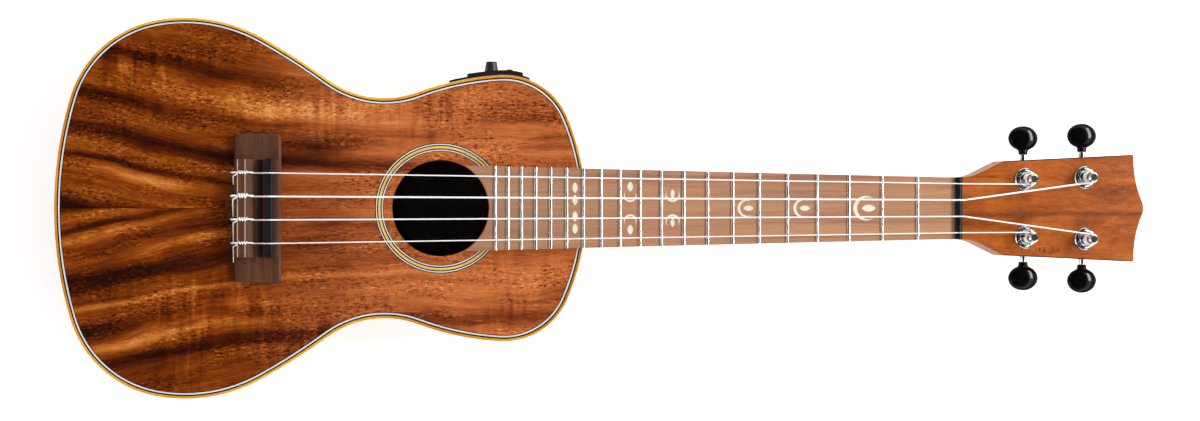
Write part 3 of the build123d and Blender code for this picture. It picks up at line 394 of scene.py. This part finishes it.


# darker figure of the headstock's face, and painted shadows behind two posts: where each starts and ends
# along it, sideways place, half width and strength
VENEER_FIGURE_AND_POST_SHADOWS = (
    (202, 236, 18.0, 1.3, 0.55),
    (280, 314, 21.0, 2.0, 0.60),
    (276, 312, 6.0, 10.0, 0.40),
    # these two rows are painted shadows of the tuner posts
    (226, 250, -5.0, 8.0, 0.45),
    (264, 292, -7.0, 8.0, 0.45),
    (284, 316, -14.0, 9.0, 0.30),
    (214, 300, 11.0, 3.0, 0.20),
)


def veneer_koa(name):
    """Koa of the headstock's face, with darker figure, painted shadows behind two posts, one dark streak and
    dark edges.
    """
    tones = ((96, 38, 6), (156, 76, 15), (194, 110, 40))
    material, tree, shader, colour, place = wood(
        name, tones, (0.10, 0.8), (0.75, 0.40, 0.22), 0.18, 9.0, Roughness=0.2, Specular_IOR_Level=0.2
    )
    cloud = between(tree, stretched(tree, *place, (0.06, 0.25, 0.25), 3.0), 0.3, 0.7, 0.5, 1.4)
    for start, end, side, half_width, strength in VENEER_FIGURE_AND_POST_SHADOWS:
        along = bell(tree, place[0], (start + end) / 2, (end - start) / 2)
        mark = maths(tree, "MULTIPLY", along, bell(tree, place[1], side, half_width))
        mark = maths(tree, "MULTIPLY", maths(tree, "MULTIPLY", mark, cloud), strength)
        colour = mix(tree, mark, colour, srgb(62, 22, 4))
    # a row of short dark curls near the treble edge
    curl = between(tree, stretched(tree, *place, (0.55, 0.30, 0.30), 2.0), 0.48, 0.60)
    row = maths(tree, "MULTIPLY", bell(tree, place[0], 251.0, 24.0), bell(tree, place[1], -24.0, 2.6))
    colour = mix(tree, maths(tree, "MULTIPLY", row, curl), colour, srgb(88, 34, 8))
    sway = stretched(tree, *place, (0.02, 0.05, 0.05), 2.0)
    line = maths(tree, "MULTIPLY_ADD", sway, 5.0, place[1])
    streak_share = between(tree, sway, 0.2, 0.5, 0.4, 0.8)
    dark_streak = maths(tree, "MULTIPLY", bell(tree, line, -1.0, 2.6), streak_share)
    colour = mix(tree, dark_streak, colour, srgb(104, 46, 16))
    normal = add_node(tree, "NewGeometry").outputs["True Normal"]
    facing = add_node(tree, "SeparateXYZ", {0: normal}).outputs[2]
    colour = mix(tree, between(tree, facing, 0.6, 0.8, 0.9, 0.0), colour, srgb(28, 16, 12))
    # black line along the two long edges, which spread towards the tip
    edge = maths(tree, "MULTIPLY_ADD", place[0], EDGE_SPREAD, EDGE_AT_ORIGIN)
    reach = maths(tree, "SUBTRACT", edge, maths(tree, "ABSOLUTE", place[1]))
    past_shoulder = between(tree, place[0], SHOULDER_X - 0.5, SHOULDER_X + 0.5)
    edge_line = maths(tree, "MULTIPLY", between(tree, reach, 0.45, 0.62, 1.0, 0.0), past_shoulder)
    colour = mix(tree, edge_line, colour, srgb(20, 14, 12))
    connect(tree, shader, colour)
    return material


def fretboard_wood(name):
    """Pale pinkish fretboard with greyish streaks, dull and a little darker towards the soundhole."""
    tones = ((138, 96, 74), (182, 132, 98), (208, 162, 122))
    material, tree, shader, colour, place = wood(
        name, tones, (0.16, 1.3), (0.65, 0.42, 0.10), 0.0, 8.0, Roughness=0.6, Specular_IOR_Level=0.15
    )
    mauve = between(tree, stretched(tree, *place, (0.006, 0.30, 0.30), 2.0), 0.52, 0.72, 0.0, 0.5)
    towards_hole = between(tree, place[0], -90.0, 60.0, 0.35, 0.0)
    colour = mix(tree, mauve, colour, srgb(130, 94, 88))
    colour = mix(tree, towards_hole, colour, srgb(146, 112, 92))
    connect(tree, shader, colour)
    return material


def bridge_rosewood(name, saddle_rear, half_length):
    """Rosewood of the bridge, with painted shade darkening its channel behind the saddle and a painted
    red-brown highlight line just behind the saddle.
    """
    tones = ((52, 28, 18), (86, 52, 34), (114, 76, 52))
    material, tree, shader, colour, place = wood(
        name, tones, (0.22, 1.6), (0.6, 0.6, 0.22), 0.0, along="y", Roughness=0.5, Specular_IOR_Level=0.25
    )
    behind = maths(tree, "SUBTRACT", saddle_rear, place[0])
    aside = maths(tree, "ABSOLUTE", place[1])
    in_channel = between(tree, aside, half_length - 0.1, half_length, 1.0, 0.0)
    in_channel = maths(tree, "MULTIPLY", in_channel, between(tree, behind, -0.2, 0.0))
    # painted shade: the channel behind the saddle darkens to near black towards the saddle
    painted_channel_shade = maths(tree, "MULTIPLY", between(tree, behind, 3.0, 6.5, 0.93, 0.0), in_channel)
    # painted highlight: a thin red-brown line just behind the saddle
    painted_edge_highlight = maths(tree, "MULTIPLY", bell(tree, behind, 0.95, 0.75), in_channel)
    colour = mix(tree, painted_channel_shade, colour, srgb(8, 5, 5))
    connect(tree, shader, mix(tree, painted_edge_highlight, colour, srgb(140, 48, 14)))
    return material


# ------------------------------------------------------------------ plastics, metals and trim


def moulded(name, colour, variation=0.25, texture=2.5, relief=0.15, **settings):
    """Plastic or lacquer: a cloudy tint, a fine skin and faint handling marks."""
    material, tree, shader = new_material(name, **settings)
    x, y, z = millimetres(tree)
    cloud = stretched(tree, x, y, z, (0.09, 0.09, 0.09), 3.0)
    skin = stretched(tree, x, y, z, (texture, texture, texture), 2.0)
    scuff = between(tree, stretched(tree, x, y, z, (0.25, 2.0, 1.1), 3.0, 0.7), 0.60, 0.78)
    dark = tuple(c * (1 - variation) for c in colour[:3]) + (1.0,)
    light = tuple(min(1.0, c * (1 + variation)) for c in colour[:3]) + (1.0,)
    tint = ramp(tree, cloud, (0.3, dark), (0.7, light))
    roughness = settings.get("Roughness", 0.4)
    skin_roughness = between(tree, skin, 0.3, 0.7, roughness * 0.8, roughness * 1.2)
    rough = maths(tree, "MULTIPLY_ADD", scuff, 0.12, skin_roughness)
    connect(tree, shader, tint, rough, bump(tree, skin, relief, 0.00003))
    return material, tree, shader, tint, (x, y, z)


def metal(name, colour, roughness, brushed=0.0, relief=0.03):
    """Plated or plain metal with faint clouding and fine polishing marks."""
    material, tree, shader = new_material(name, Metallic=1.0)
    x, y, z = millimetres(tree)
    cloud = stretched(tree, x, y, z, (0.15, 0.15, 0.15), 3.0)
    marks = stretched(tree, x, y, z, (0.4, 6.0, 6.0), 2.0, 0.6)
    dark = tuple(c * 0.86 for c in colour[:3]) + (1.0,)
    clouded = between(tree, cloud, 0.3, 0.7, roughness * 0.7, roughness)
    rough = maths(tree, "MULTIPLY_ADD", marks, 0.06 + brushed, clouded)
    connect(tree, shader, mix(tree, cloud, dark, colour), rough, bump(tree, marks, relief, 0.00002))
    return material


def pearl_shell(name):
    """Mother-of-pearl: soft bands of cream, pink and green."""
    material, tree, shader = new_material(name, Roughness=0.18, Coat_Weight=0.5)
    x, y, z = millimetres(tree)
    layers = stretched(tree, x, y, z, (0.35, 0.35, 0.35), 3.0, 0.5, 1.5)
    cream = ramp(
        tree,
        layers,
        (0.28, srgb(226, 206, 178)),
        (0.42, srgb(246, 236, 216)),
        (0.52, srgb(226, 232, 216)),
        (0.62, srgb(248, 232, 220)),
        (0.76, srgb(255, 250, 238)),
    )
    connect(tree, shader, cream, between(tree, layers, 0.3, 0.7, 0.14, 0.26))
    return material


def binding_lacquer(name):
    """Amber binding that pales along its run, with grain along the edge."""
    material, tree, shader = new_material(name, **GLOSS)
    x, y, z = millimetres(tree)
    drift = stretched(tree, x, y, z, (0.011, 0.011, 0.02), 2.0)
    grain = stretched(tree, x, y, z, (0.35, 0.35, 2.2), 3.0, 0.6)
    tone = weighted(tree, 0.5, (drift, 1.1), (grain, 0.35))
    amber = ramp(
        tree,
        tone,
        (0.15, srgb(176, 92, 14)),
        (0.45, srgb(220, 142, 28)),
        (0.7, srgb(240, 186, 74)),
        (0.95, srgb(250, 226, 150)),
    )
    connect(tree, shader, amber, between(tree, grain, 0.3, 0.7, 0.12, 0.2), bump(tree, grain, 0.08, 0.00005))
    return material


def preamp_plastic(name, knob_x, knob_z):
    """Black textured plastic, with plain white scale marks around the knob."""
    material, tree, shader, tint, place = moulded(
        name, srgb(24, 24, 27), 0.3, 5.0, 0.5, Roughness=0.42
    )
    across = maths(tree, "SUBTRACT", place[0], knob_x)
    up = maths(tree, "SUBTRACT", place[2], knob_z)
    squares = maths(tree, "MULTIPLY_ADD", across, across, maths(tree, "MULTIPLY", up, up))
    reach = maths(tree, "SQRT", squares)
    turn = maths(tree, "ARCTAN2", up, across)
    step = maths(tree, "PINGPONG", turn, math.pi / 12)
    on_mark = between(tree, maths(tree, "MULTIPLY", step, reach), 0.22, 0.34, 1.0, 0.0)
    ring_end = between(tree, reach, 6.2, 6.35, 1.0, 0.0)
    in_ring = maths(tree, "MULTIPLY", between(tree, reach, 5.0, 5.15), ring_end)
    not_below = between(tree, maths(tree, "ADD", up, maths(tree, "ABSOLUTE", across)), -2.6, -2.2)
    outside = between(tree, place[1], 60.0, 70.0)
    shown = maths(tree, "MULTIPLY", not_below, outside)
    mark = maths(tree, "MULTIPLY", maths(tree, "MULTIPLY", on_mark, in_ring), shown)
    connect(tree, shader, mix(tree, mark, tint, srgb(225, 225, 222)))
    return material


def display(name, centre_x, centre_z):
    """Dark window over a plain level display: an arc of ticks and one lit bar."""
    material, tree, shader, tint, place = moulded(name, srgb(12, 17, 18), 0.3, 1.5, 0.02, Roughness=0.06)
    across = maths(tree, "SUBTRACT", place[0], centre_x)
    up = maths(tree, "SUBTRACT", place[2], centre_z)
    # the offset keeps the value positive and puts a tick in the middle of the window
    column = maths(tree, "PINGPONG", maths(tree, "ADD", across, 40.4), 0.8)
    tick = between(tree, column, 0.14, 0.22, 1.0, 0.0)
    row = bell(tree, up, 2.6, 1.6)
    inside = between(tree, maths(tree, "ABSOLUTE", across), 3.8, 4.0, 1.0, 0.0)
    ticks = maths(tree, "MULTIPLY", maths(tree, "MULTIPLY", tick, row), inside)
    bar = maths(tree, "MULTIPLY", bell(tree, up, -2.4, 0.9), between(tree, across, -3.2, -3.0))
    bar = maths(tree, "MULTIPLY", bar, between(tree, across, 1.4, 1.6, 1.0, 0.0))
    colour = mix(tree, ticks, tint, srgb(150, 190, 180))
    connect(tree, shader, mix(tree, bar, colour, srgb(120, 205, 130)))
    return material


def circuit_green(name):
    """Solder mask with paler copper tracks under it."""
    material, tree, shader, tint, place = moulded(name, srgb(16, 74, 40), 0.3, 3.0, 0.1, Roughness=0.35)
    lane = maths(tree, "PINGPONG", place[2], 1.3)
    track = between(tree, lane, 0.25, 0.35, 0.6, 0.0)
    breaks = between(tree, stretched(tree, *place, (0.12, 0.12, 0.5), 1.0), 0.48, 0.52)
    connect(tree, shader, mix(tree, maths(tree, "MULTIPLY", track, breaks), tint, srgb(70, 140, 80)))
    return material


def plain_paper(name):
    """Seamless white backdrop paper."""
    material, tree, shader = new_material(
        name, Roughness=0.95, Emission_Color=grey(1.0), Emission_Strength=0.52
    )
    x, y, z = millimetres(tree)
    fibres = stretched(tree, x, y, z, (0.5, 0.5, 0.5), 3.0)
    connect(tree, shader, mix(tree, fibres, srgb(248, 249, 250), srgb(253, 253, 254)))
    return material


def middle_of(node):
    """Middle of a CAD node's box, in millimetres."""
    low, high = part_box(node)
    return [(a + b) / 2 / MM for a, b in zip(low, high)]


knob_middle = middle_of("volume_knob")
screen_middle = middle_of("preamp_screen")
saddle_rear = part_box("saddle")[0].x / MM
TIE_HALF_LENGTH = 27.45

SIDE_TONES = ((62, 22, 6), (136, 66, 20), (200, 122, 56))
SIDE_GLOSS = {"Roughness": 0.2, "Specular_IOR_Level": 0.22}
# the strings' faint emission is a painted glow that brightens them
NYLON_ROUGHNESS_AND_GLOW = {"Roughness": 0.28, "Emission_Color": grey(1.0), "Emission_Strength": 0.05}
NECK_TONES = ((92, 44, 18), (150, 86, 42), (196, 128, 72))
INNER_TONES = ((150, 118, 72), (196, 164, 112), (222, 196, 146))
MAPLE_TONES = ((206, 150, 62), (236, 190, 100), (250, 220, 150))

materials = {
    "koa_top": streaked_koa("koa_top"),
    "koa_side": wood(
        "koa_side", SIDE_TONES, (0.10, 0.9), (0.9, 0.5, 0.22), 0.5, 7.0, "rim", **SIDE_GLOSS
    )[0],
    "koa_veneer": veneer_koa("koa_veneer"),
    "neck_wood": wood(
        "neck_wood", NECK_TONES, (0.14, 1.2), (0.7, 0.5, 0.28), 0.12, Roughness=0.38, Specular_IOR_Level=0.2
    )[0],
    "binding_wood": binding_lacquer("binding_wood"),
    "fretboard_wood": fretboard_wood("fretboard_wood"),
    "bridge_wood": bridge_rosewood("bridge_wood", saddle_rear, TIE_HALF_LENGTH),
    "inner_wood": wood("inner_wood", INNER_TONES, (0.25, 1.8), (0.5, 0.5, 0.1), Roughness=0.8)[0],
    "maple": wood("maple", MAPLE_TONES, (0.2, 1.5), (0.6, 0.4, 0.05), 0.3, **GLOSS)[0],
    "black_trim": moulded("black_trim", srgb(14, 12, 12), 0.3, 3.0, 0.05, Roughness=0.22)[0],
    "white_trim": moulded("white_trim", srgb(216, 222, 226), 0.10, 3.0, 0.05, Roughness=0.25)[0],
    "pearl": pearl_shell("pearl"),
    "black_nut": moulded(
        "black_nut", srgb(18, 21, 27), 0.3, 1.5, 0.08, Roughness=0.35, Specular_IOR_Level=0.15
    )[0],
    "nylon": moulded("nylon", srgb(246, 247, 246), 0.03, 2.0, 0.05, **NYLON_ROUGHNESS_AND_GLOW)[0],
    "fret_wire": metal("fret_wire", srgb(232, 230, 226), 0.16, 0.0, 0.004),
    "chrome": metal("chrome", srgb(226, 227, 230), 0.07),
    "steel": metal("steel", srgb(170, 170, 172), 0.34, 0.10, 0.13),
    "button_black": moulded(
        "button_black", srgb(6, 6, 7), 0.3, 1.0, 0.0, Roughness=0.08, Specular_IOR_Level=0.14
    )[0],
    "preamp_black": preamp_plastic("preamp_black", knob_middle[0], knob_middle[2]),
    "screen": display("screen", screen_middle[0], screen_middle[2]),
    "board_green": circuit_green("board_green"),
}
back_material = back_koa("koa_back")

slots = {row["node"]: row["material_slot"] for row in record["subparts"]}
for node_name, piece in frame["nodes"].items():
    slot_name = slots[node_name]
    is_back = node_name.startswith("back_") and slot_name == "koa_side"
    piece.data.materials.clear()
    piece.data.materials.append(back_material if is_back else materials[slot_name])


# ------------------------------------------------------------------ mesh tools


def add_piece(name, vertices, faces, slot, body, replaced=(), material=None):
    """A smooth mesh, given in metres, that rides on a body and takes a slot's material or its own."""
    mesh = bpy.data.meshes.new(name)
    mesh.from_pydata([tuple(vertex) for vertex in vertices], [], faces)
    mesh.validate()
    mesh.shade_smooth()
    mesh.materials.append(material or materials[slot])
    piece = bpy.data.objects.new(name, mesh)
    bpy.context.scene.collection.objects.link(piece)
    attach(piece, body)
    for node in replaced:
        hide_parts(node)
    return piece


def sharpen(piece, degrees):
    """Keep edges sharper than an angle crisp."""
    piece.data.set_sharp_from_angle(angle=math.radians(degrees))


def skin_faces(rings, around, closed_ring):
    """Quads between successive rings of points, and end caps unless the last ring meets the first."""
    faces = []
    for ring in range(rings if closed_ring else rings - 1):
        low = ring * around
        high = (ring + 1) % rings * around
        for point in range(around):
            following = (point + 1) % around
            faces.append((low + point, low + following, high + following, high + point))
    if not closed_ring:
        faces.append(tuple(reversed(range(around))))
        faces.append(tuple(range((rings - 1) * around, rings * around)))
    return faces


def tube(name, points, radius, slot, body, around=10):
    """Round tube along a list of points, with rounded-off ends."""
    vertices = []
    side = Vector((0.31, 0.17, 0.93))
    rings = len(points)
    for index, point in enumerate(points):
        before = points[max(index - 1, 0)]
        after = points[min(index + 1, rings - 1)]
        tangent = (after - before).normalized()
        side = (side - tangent * side.dot(tangent)).normalized()
        other = tangent.cross(side)
        size = radius * (0.55 if index in (0, rings - 1) else 1.0)
        for step in range(around):
            angle = 2 * math.pi * step / around
            vertices.append(point + (side * math.cos(angle) + other * math.sin(angle)) * size)
    return add_piece(name, vertices, skin_faces(rings, around, False), slot, body)


def lathe(name, origin, axis, start, profile, slot, body, replaced=(), around=48, limit=None):
    """Closed solid of revolution: a loop of (radius, height) pairs about an axis.

    limit, when given, is the largest radius at an angle and a height, as on a hexagon.
    """
    other = axis.cross(start)
    vertices = []
    for radius, height in profile:
        for step in range(around):
            angle = 2 * math.pi * step / around
            size = min(radius, limit(angle, height)) if limit else radius
            spoke = start * math.cos(angle) + other * math.sin(angle)
            vertices.append(origin + (axis * height + spoke * size) * MM)
    return add_piece(name, vertices, skin_faces(len(profile), around, True), slot, body, replaced)


# ------------------------------------------------------------------ tuning machines

joints = {row["name"]: row for row in record["behaviour"]["joints"]}
ACROSS = Vector((0, 1, 0))
STRING_DIAMETER = {"g": 0.72, "c": 1.00, "e": 0.82, "a": 0.65}
WAIST_RADIUS = 2.4
WAIST_TOP = 8.4
STRING_HEIGHT = 6.4
STEPS_PER_TURN = 56
STRING_SIDES = 10
END_LENGTH = 0.8
HEAD_BACK = -14.2
WASHER_RADIUS = 6.4
HEX_FLATS = 5.1
HEX_START = 1.02
# bushing, hex nut and washer as one loop of radius and height above the headstock's face
BUSHING_PROFILE = (
    (4.25, HEAD_BACK),
    (4.25, -0.02),
    (WASHER_RADIUS - 0.25, 0.0),
    (WASHER_RADIUS, 0.25),
    (WASHER_RADIUS, 0.65),
    (WASHER_RADIUS - 0.35, 1.0),
    (6.0, 1.0),
    (5.9, 1.06),
    (5.9, 2.35),
    (5.55, 2.85),
    (5.1, 3.12),
    (4.5, 3.2),
    (4.1, 3.0),
    (3.3, 2.96),
    (3.08, 2.8),
    (3.08, HEAD_BACK),
)
BUTTON_HALF_LENGTH = 7.2
BUTTON_HALF_WIDTH = 9.1
BUTTON_HALF_THICKNESS = 3.25
BUTTON_SIDES = 40
BUTTON_SQUARENESS = 0.86
# the button's neck beyond the oval: distance from its centre, half width, half thickness
BUTTON_NECK = ((7.1, 2.95, 2.35), (7.7, 2.7, 2.4), (8.4, 2.6, 2.45), (9.2, 2.6, 2.45), (9.3, 2.4, 2.3))
COLLAR_START = 7.65         # from the post axis to the housing's outer wall


def hexagon(angle, height):
    """Distance from a bushing's axis to the side of its hex nut; below the nut there is no limit."""
    if height <= HEX_START:
        return math.inf
    return HEX_FLATS / math.cos((angle + math.pi / 6) % (math.pi / 3) - math.pi / 6)


def button_stations():
    """Half width and half thickness of a button along its length, from its tip to its neck."""
    stations = []
    for step in range(1, 22):
        angle = math.radians(2 + 156 * step / 21)
        half_width = BUTTON_HALF_WIDTH * math.sin(angle)
        half_thickness = BUTTON_HALF_THICKNESS * math.sin(angle) ** 0.55
        stations.append((-BUTTON_HALF_LENGTH * math.cos(angle), half_width, max(half_thickness, 0.4)))
    stations.extend(BUTTON_NECK)
    return stations


def add_bushing(string, place, upright, forwards):
    """Bushing, washer and hex nut round one post."""
    bushing = lathe(
        f"bushing_{string}",
        place,
        upright,
        forwards,
        BUSHING_PROFILE,
        "chrome",
        "root",
        ("tuner_bushings",),
        72,
        hexagon,
    )
    sharpen(bushing, 28)


def add_string_turns(string, place, upright, forwards, outward):
    """String on one post: a closed first turn that it runs onto, and the turns that climb the waist.

    The climb starts on the first turn's far side, so nothing new meets the string as the post turns.
    """
    diameter = STRING_DIAMETER[string]
    pitch = diameter * 1.02
    wrap_radius = WAIST_RADIUS + diameter / 2 + 0.03
    section = []
    for step in range(STRING_SIDES):
        angle = 2 * math.pi * step / STRING_SIDES
        reach = wrap_radius + math.cos(angle) * diameter / 2
        section.append((reach, STRING_HEIGHT + math.sin(angle) * diameter / 2))
    lathe(
        f"string_turn_{string}",
        place,
        upright,
        forwards,
        section,
        "nylon",
        f"post_{string}",
        around=STEPS_PER_TURN,
    )
    climb = (WAIST_TOP - STRING_HEIGHT) / pitch
    points = []
    steps = int(climb * STEPS_PER_TURN)
    for step in range(steps + 1):
        turns = climb * step / steps
        angle = outward * (2 * math.pi * turns + math.pi / 2)
        height = STRING_HEIGHT + pitch * max(turns, min(turns * 3, 1.0))
        spoke = forwards * math.cos(angle) + ACROSS * math.sin(angle)
        points.append(place + (upright * height + spoke * wrap_radius) * MM)
    leaving = (points[-1] - points[-2]).normalized()
    points.append(points[-1] + leaving * END_LENGTH * MM)
    points.append(points[-1] + (leaving + upright * 0.4).normalized() * END_LENGTH * MM)
    tube(f"string_winding_{string}", points, diameter / 2 * MM, "nylon", f"post_{string}")


def rounded(value):
    """A cosine or sine pushed outwards a little, so that an ellipse fills its corners."""
    return math.copysign(abs(value) ** BUTTON_SQUARENESS, value)


def add_button(string, centre, upright, forwards, outward):
    """Oval paddle with a flared neck."""
    vertices = []
    stations = button_stations()
    for reach, half_width, half_thickness in stations:
        for step in range(BUTTON_SIDES):
            angle = 2 * math.pi * step / BUTTON_SIDES
            side = rounded(math.cos(angle)) * half_width
            rise = rounded(math.sin(angle)) * half_thickness
            spot = forwards * side + upright * rise - ACROSS * outward * reach
            vertices.append(centre + spot * MM)
    add_piece(
        f"button_paddle_{string}",
        vertices,
        skin_faces(len(stations), BUTTON_SIDES, False),
        "button_black",
        f"key_{string}",
        (f"button_{string}",),
    )


def add_collar(string, key_place, centre, forwards, outward):
    """Chrome collar on the shaft between the housing and the button."""
    length = abs(centre.y - key_place.y) / MM - BUTTON_NECK[-1][0] - COLLAR_START
    profile = (
        (1.82, 0.0),
        (2.9, 0.0),
        (2.9, 0.7),
        (2.35, 1.1),
        (2.25, length * 0.5),
        (2.35, length - 0.2),
        (2.2, length),
        (1.82, length),
    )
    start = key_place + ACROSS * outward * COLLAR_START * MM
    axis = ACROSS * outward
    collar = lathe(
        f"button_collar_{string}", start, axis, forwards, profile, "chrome", f"key_{string}"
    )
    sharpen(collar, 40)


for string in STRING_DIAMETER:
    post_joint = joints[f"post_{string}_turn"]
    post_place = Vector(post_joint["pos_m"])
    key_place = Vector(joints[f"key_{string}_turn"]["pos_m"])
    upright = Vector(post_joint["axis"]).normalized()
    forwards = ACROSS.cross(upright)
    outward = math.copysign(1, post_place.y)
    low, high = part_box(f"button_{string}")
    tip = high.y if outward > 0 else low.y
    button_centre = Vector((key_place.x, tip - outward * BUTTON_HALF_LENGTH * MM, key_place.z))
    add_bushing(string, post_place, upright, forwards)
    add_string_turns(string, post_place, upright, forwards, outward)
    add_button(string, button_centre, upright, forwards, outward)
    add_collar(string, key_place, button_centre, forwards, outward)


# ------------------------------------------------------------------ string ties on the bridge

bridge_low, bridge_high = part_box("bridge")
TIE_TOP = bridge_high.z / MM
TIE_FRONT = -201.4
TIE_REAR = -206.4
BRIDGE_REAR = bridge_low.x / MM
TIE_Y = {"g": 19.75, "c": 6.58, "e": -6.58, "a": -19.75}
TIE_TURNS = 3.5
TAIL_LENGTH = {"g": 7.0, "c": 12.0, "e": 13.0, "a": 11.0}

# the string's end bends down behind the bridge: first how far ahead of its cut end and how far
# sideways of the string, then how far sideways and below the tie block's top
TAIL_START = ((1.6, 1.4), (0.3, 1.9))
TAIL_FALL = ((2.6, 1.8), (4.4, 2.5))
TAIL_END_DROP = 3.0
STEPS_PER_TIE_TURN = 18


def add_tie(string, diameter):
    """One string's knot over the tie block, and its cut end behind the bridge."""
    radius = diameter / 2
    middle_y = TIE_Y[string] + radius
    floor_z = TIE_TOP + radius
    line_z = TIE_TOP + radius + 0.3
    points = []
    steps = int(TIE_TURNS * STEPS_PER_TIE_TURN)
    for step in range(steps + 1):
        share = step / steps
        angle = 2 * math.pi * TIE_TURNS * share
        x = TIE_FRONT + (TIE_REAR - TIE_FRONT) * share
        y = middle_y + math.sin(angle) * diameter
        z = max(line_z + math.cos(angle) * diameter, floor_z)
        points.append(Vector((x, y, z)) * MM)
    rear = BRIDGE_REAR - radius - 0.1
    heights = (floor_z + 0.2, TIE_TOP - 0.6)
    for (behind, aside), z in zip(TAIL_START, heights):
        points.append(Vector((rear + behind, middle_y - aside, z)) * MM)
    for aside, drop in TAIL_FALL:
        points.append(Vector((rear, middle_y - aside, TIE_TOP - drop)) * MM)
    points.append(Vector((rear, middle_y - TAIL_LENGTH[string], TIE_TOP - TAIL_END_DROP)) * MM)
    tube(f"string_tie_{string}", points, radius * MM, "nylon", "root", 8)


for string, diameter in STRING_DIAMETER.items():
    add_tie(string, diameter)

# pale strips along the two upper edges of the tie block, as painted highlights on those edges
STRIP_WIDTH = 0.55
STRIP_SECTION = ((-0.5, -0.4), (-0.5, 0.03), (-0.35, 0.09), (0.35, 0.09), (0.5, 0.03), (0.5, -0.4))
highlight_strip_material = moulded("painted_highlight_strip", srgb(196, 158, 132), 0.15, 3.0, 0.1, Roughness=0.35)[0]
for name, x in (("tie_highlight_strip_rear", -206.95), ("tie_highlight_strip_front", -202.75)):
    vertices = []
    for end in (-1, 1):
        for across, up in STRIP_SECTION:
            spot = Vector((x + across * STRIP_WIDTH, end * TIE_HALF_LENGTH, TIE_TOP + up))
            vertices.append(spot * MM)
    faces = skin_faces(2, len(STRIP_SECTION), False)
    strip = add_piece(name, vertices, faces, "white_trim", "root", material=highlight_strip_material)
    sharpen(strip, 30)


# ------------------------------------------------------------------ floor

floor_mesh = bpy.data.meshes.new("floor")
corners = [(x * FLOOR_HALF, y * FLOOR_HALF, 0) for x, y in ((-1, -1), (1, -1), (1, 1), (-1, 1))]
floor_mesh.from_pydata(corners, [], [(0, 1, 2, 3)])
floor = bpy.data.objects.new("floor", floor_mesh)
floor.data.materials.append(plain_paper("floor_paper"))
bpy.context.scene.collection.objects.link(floor)
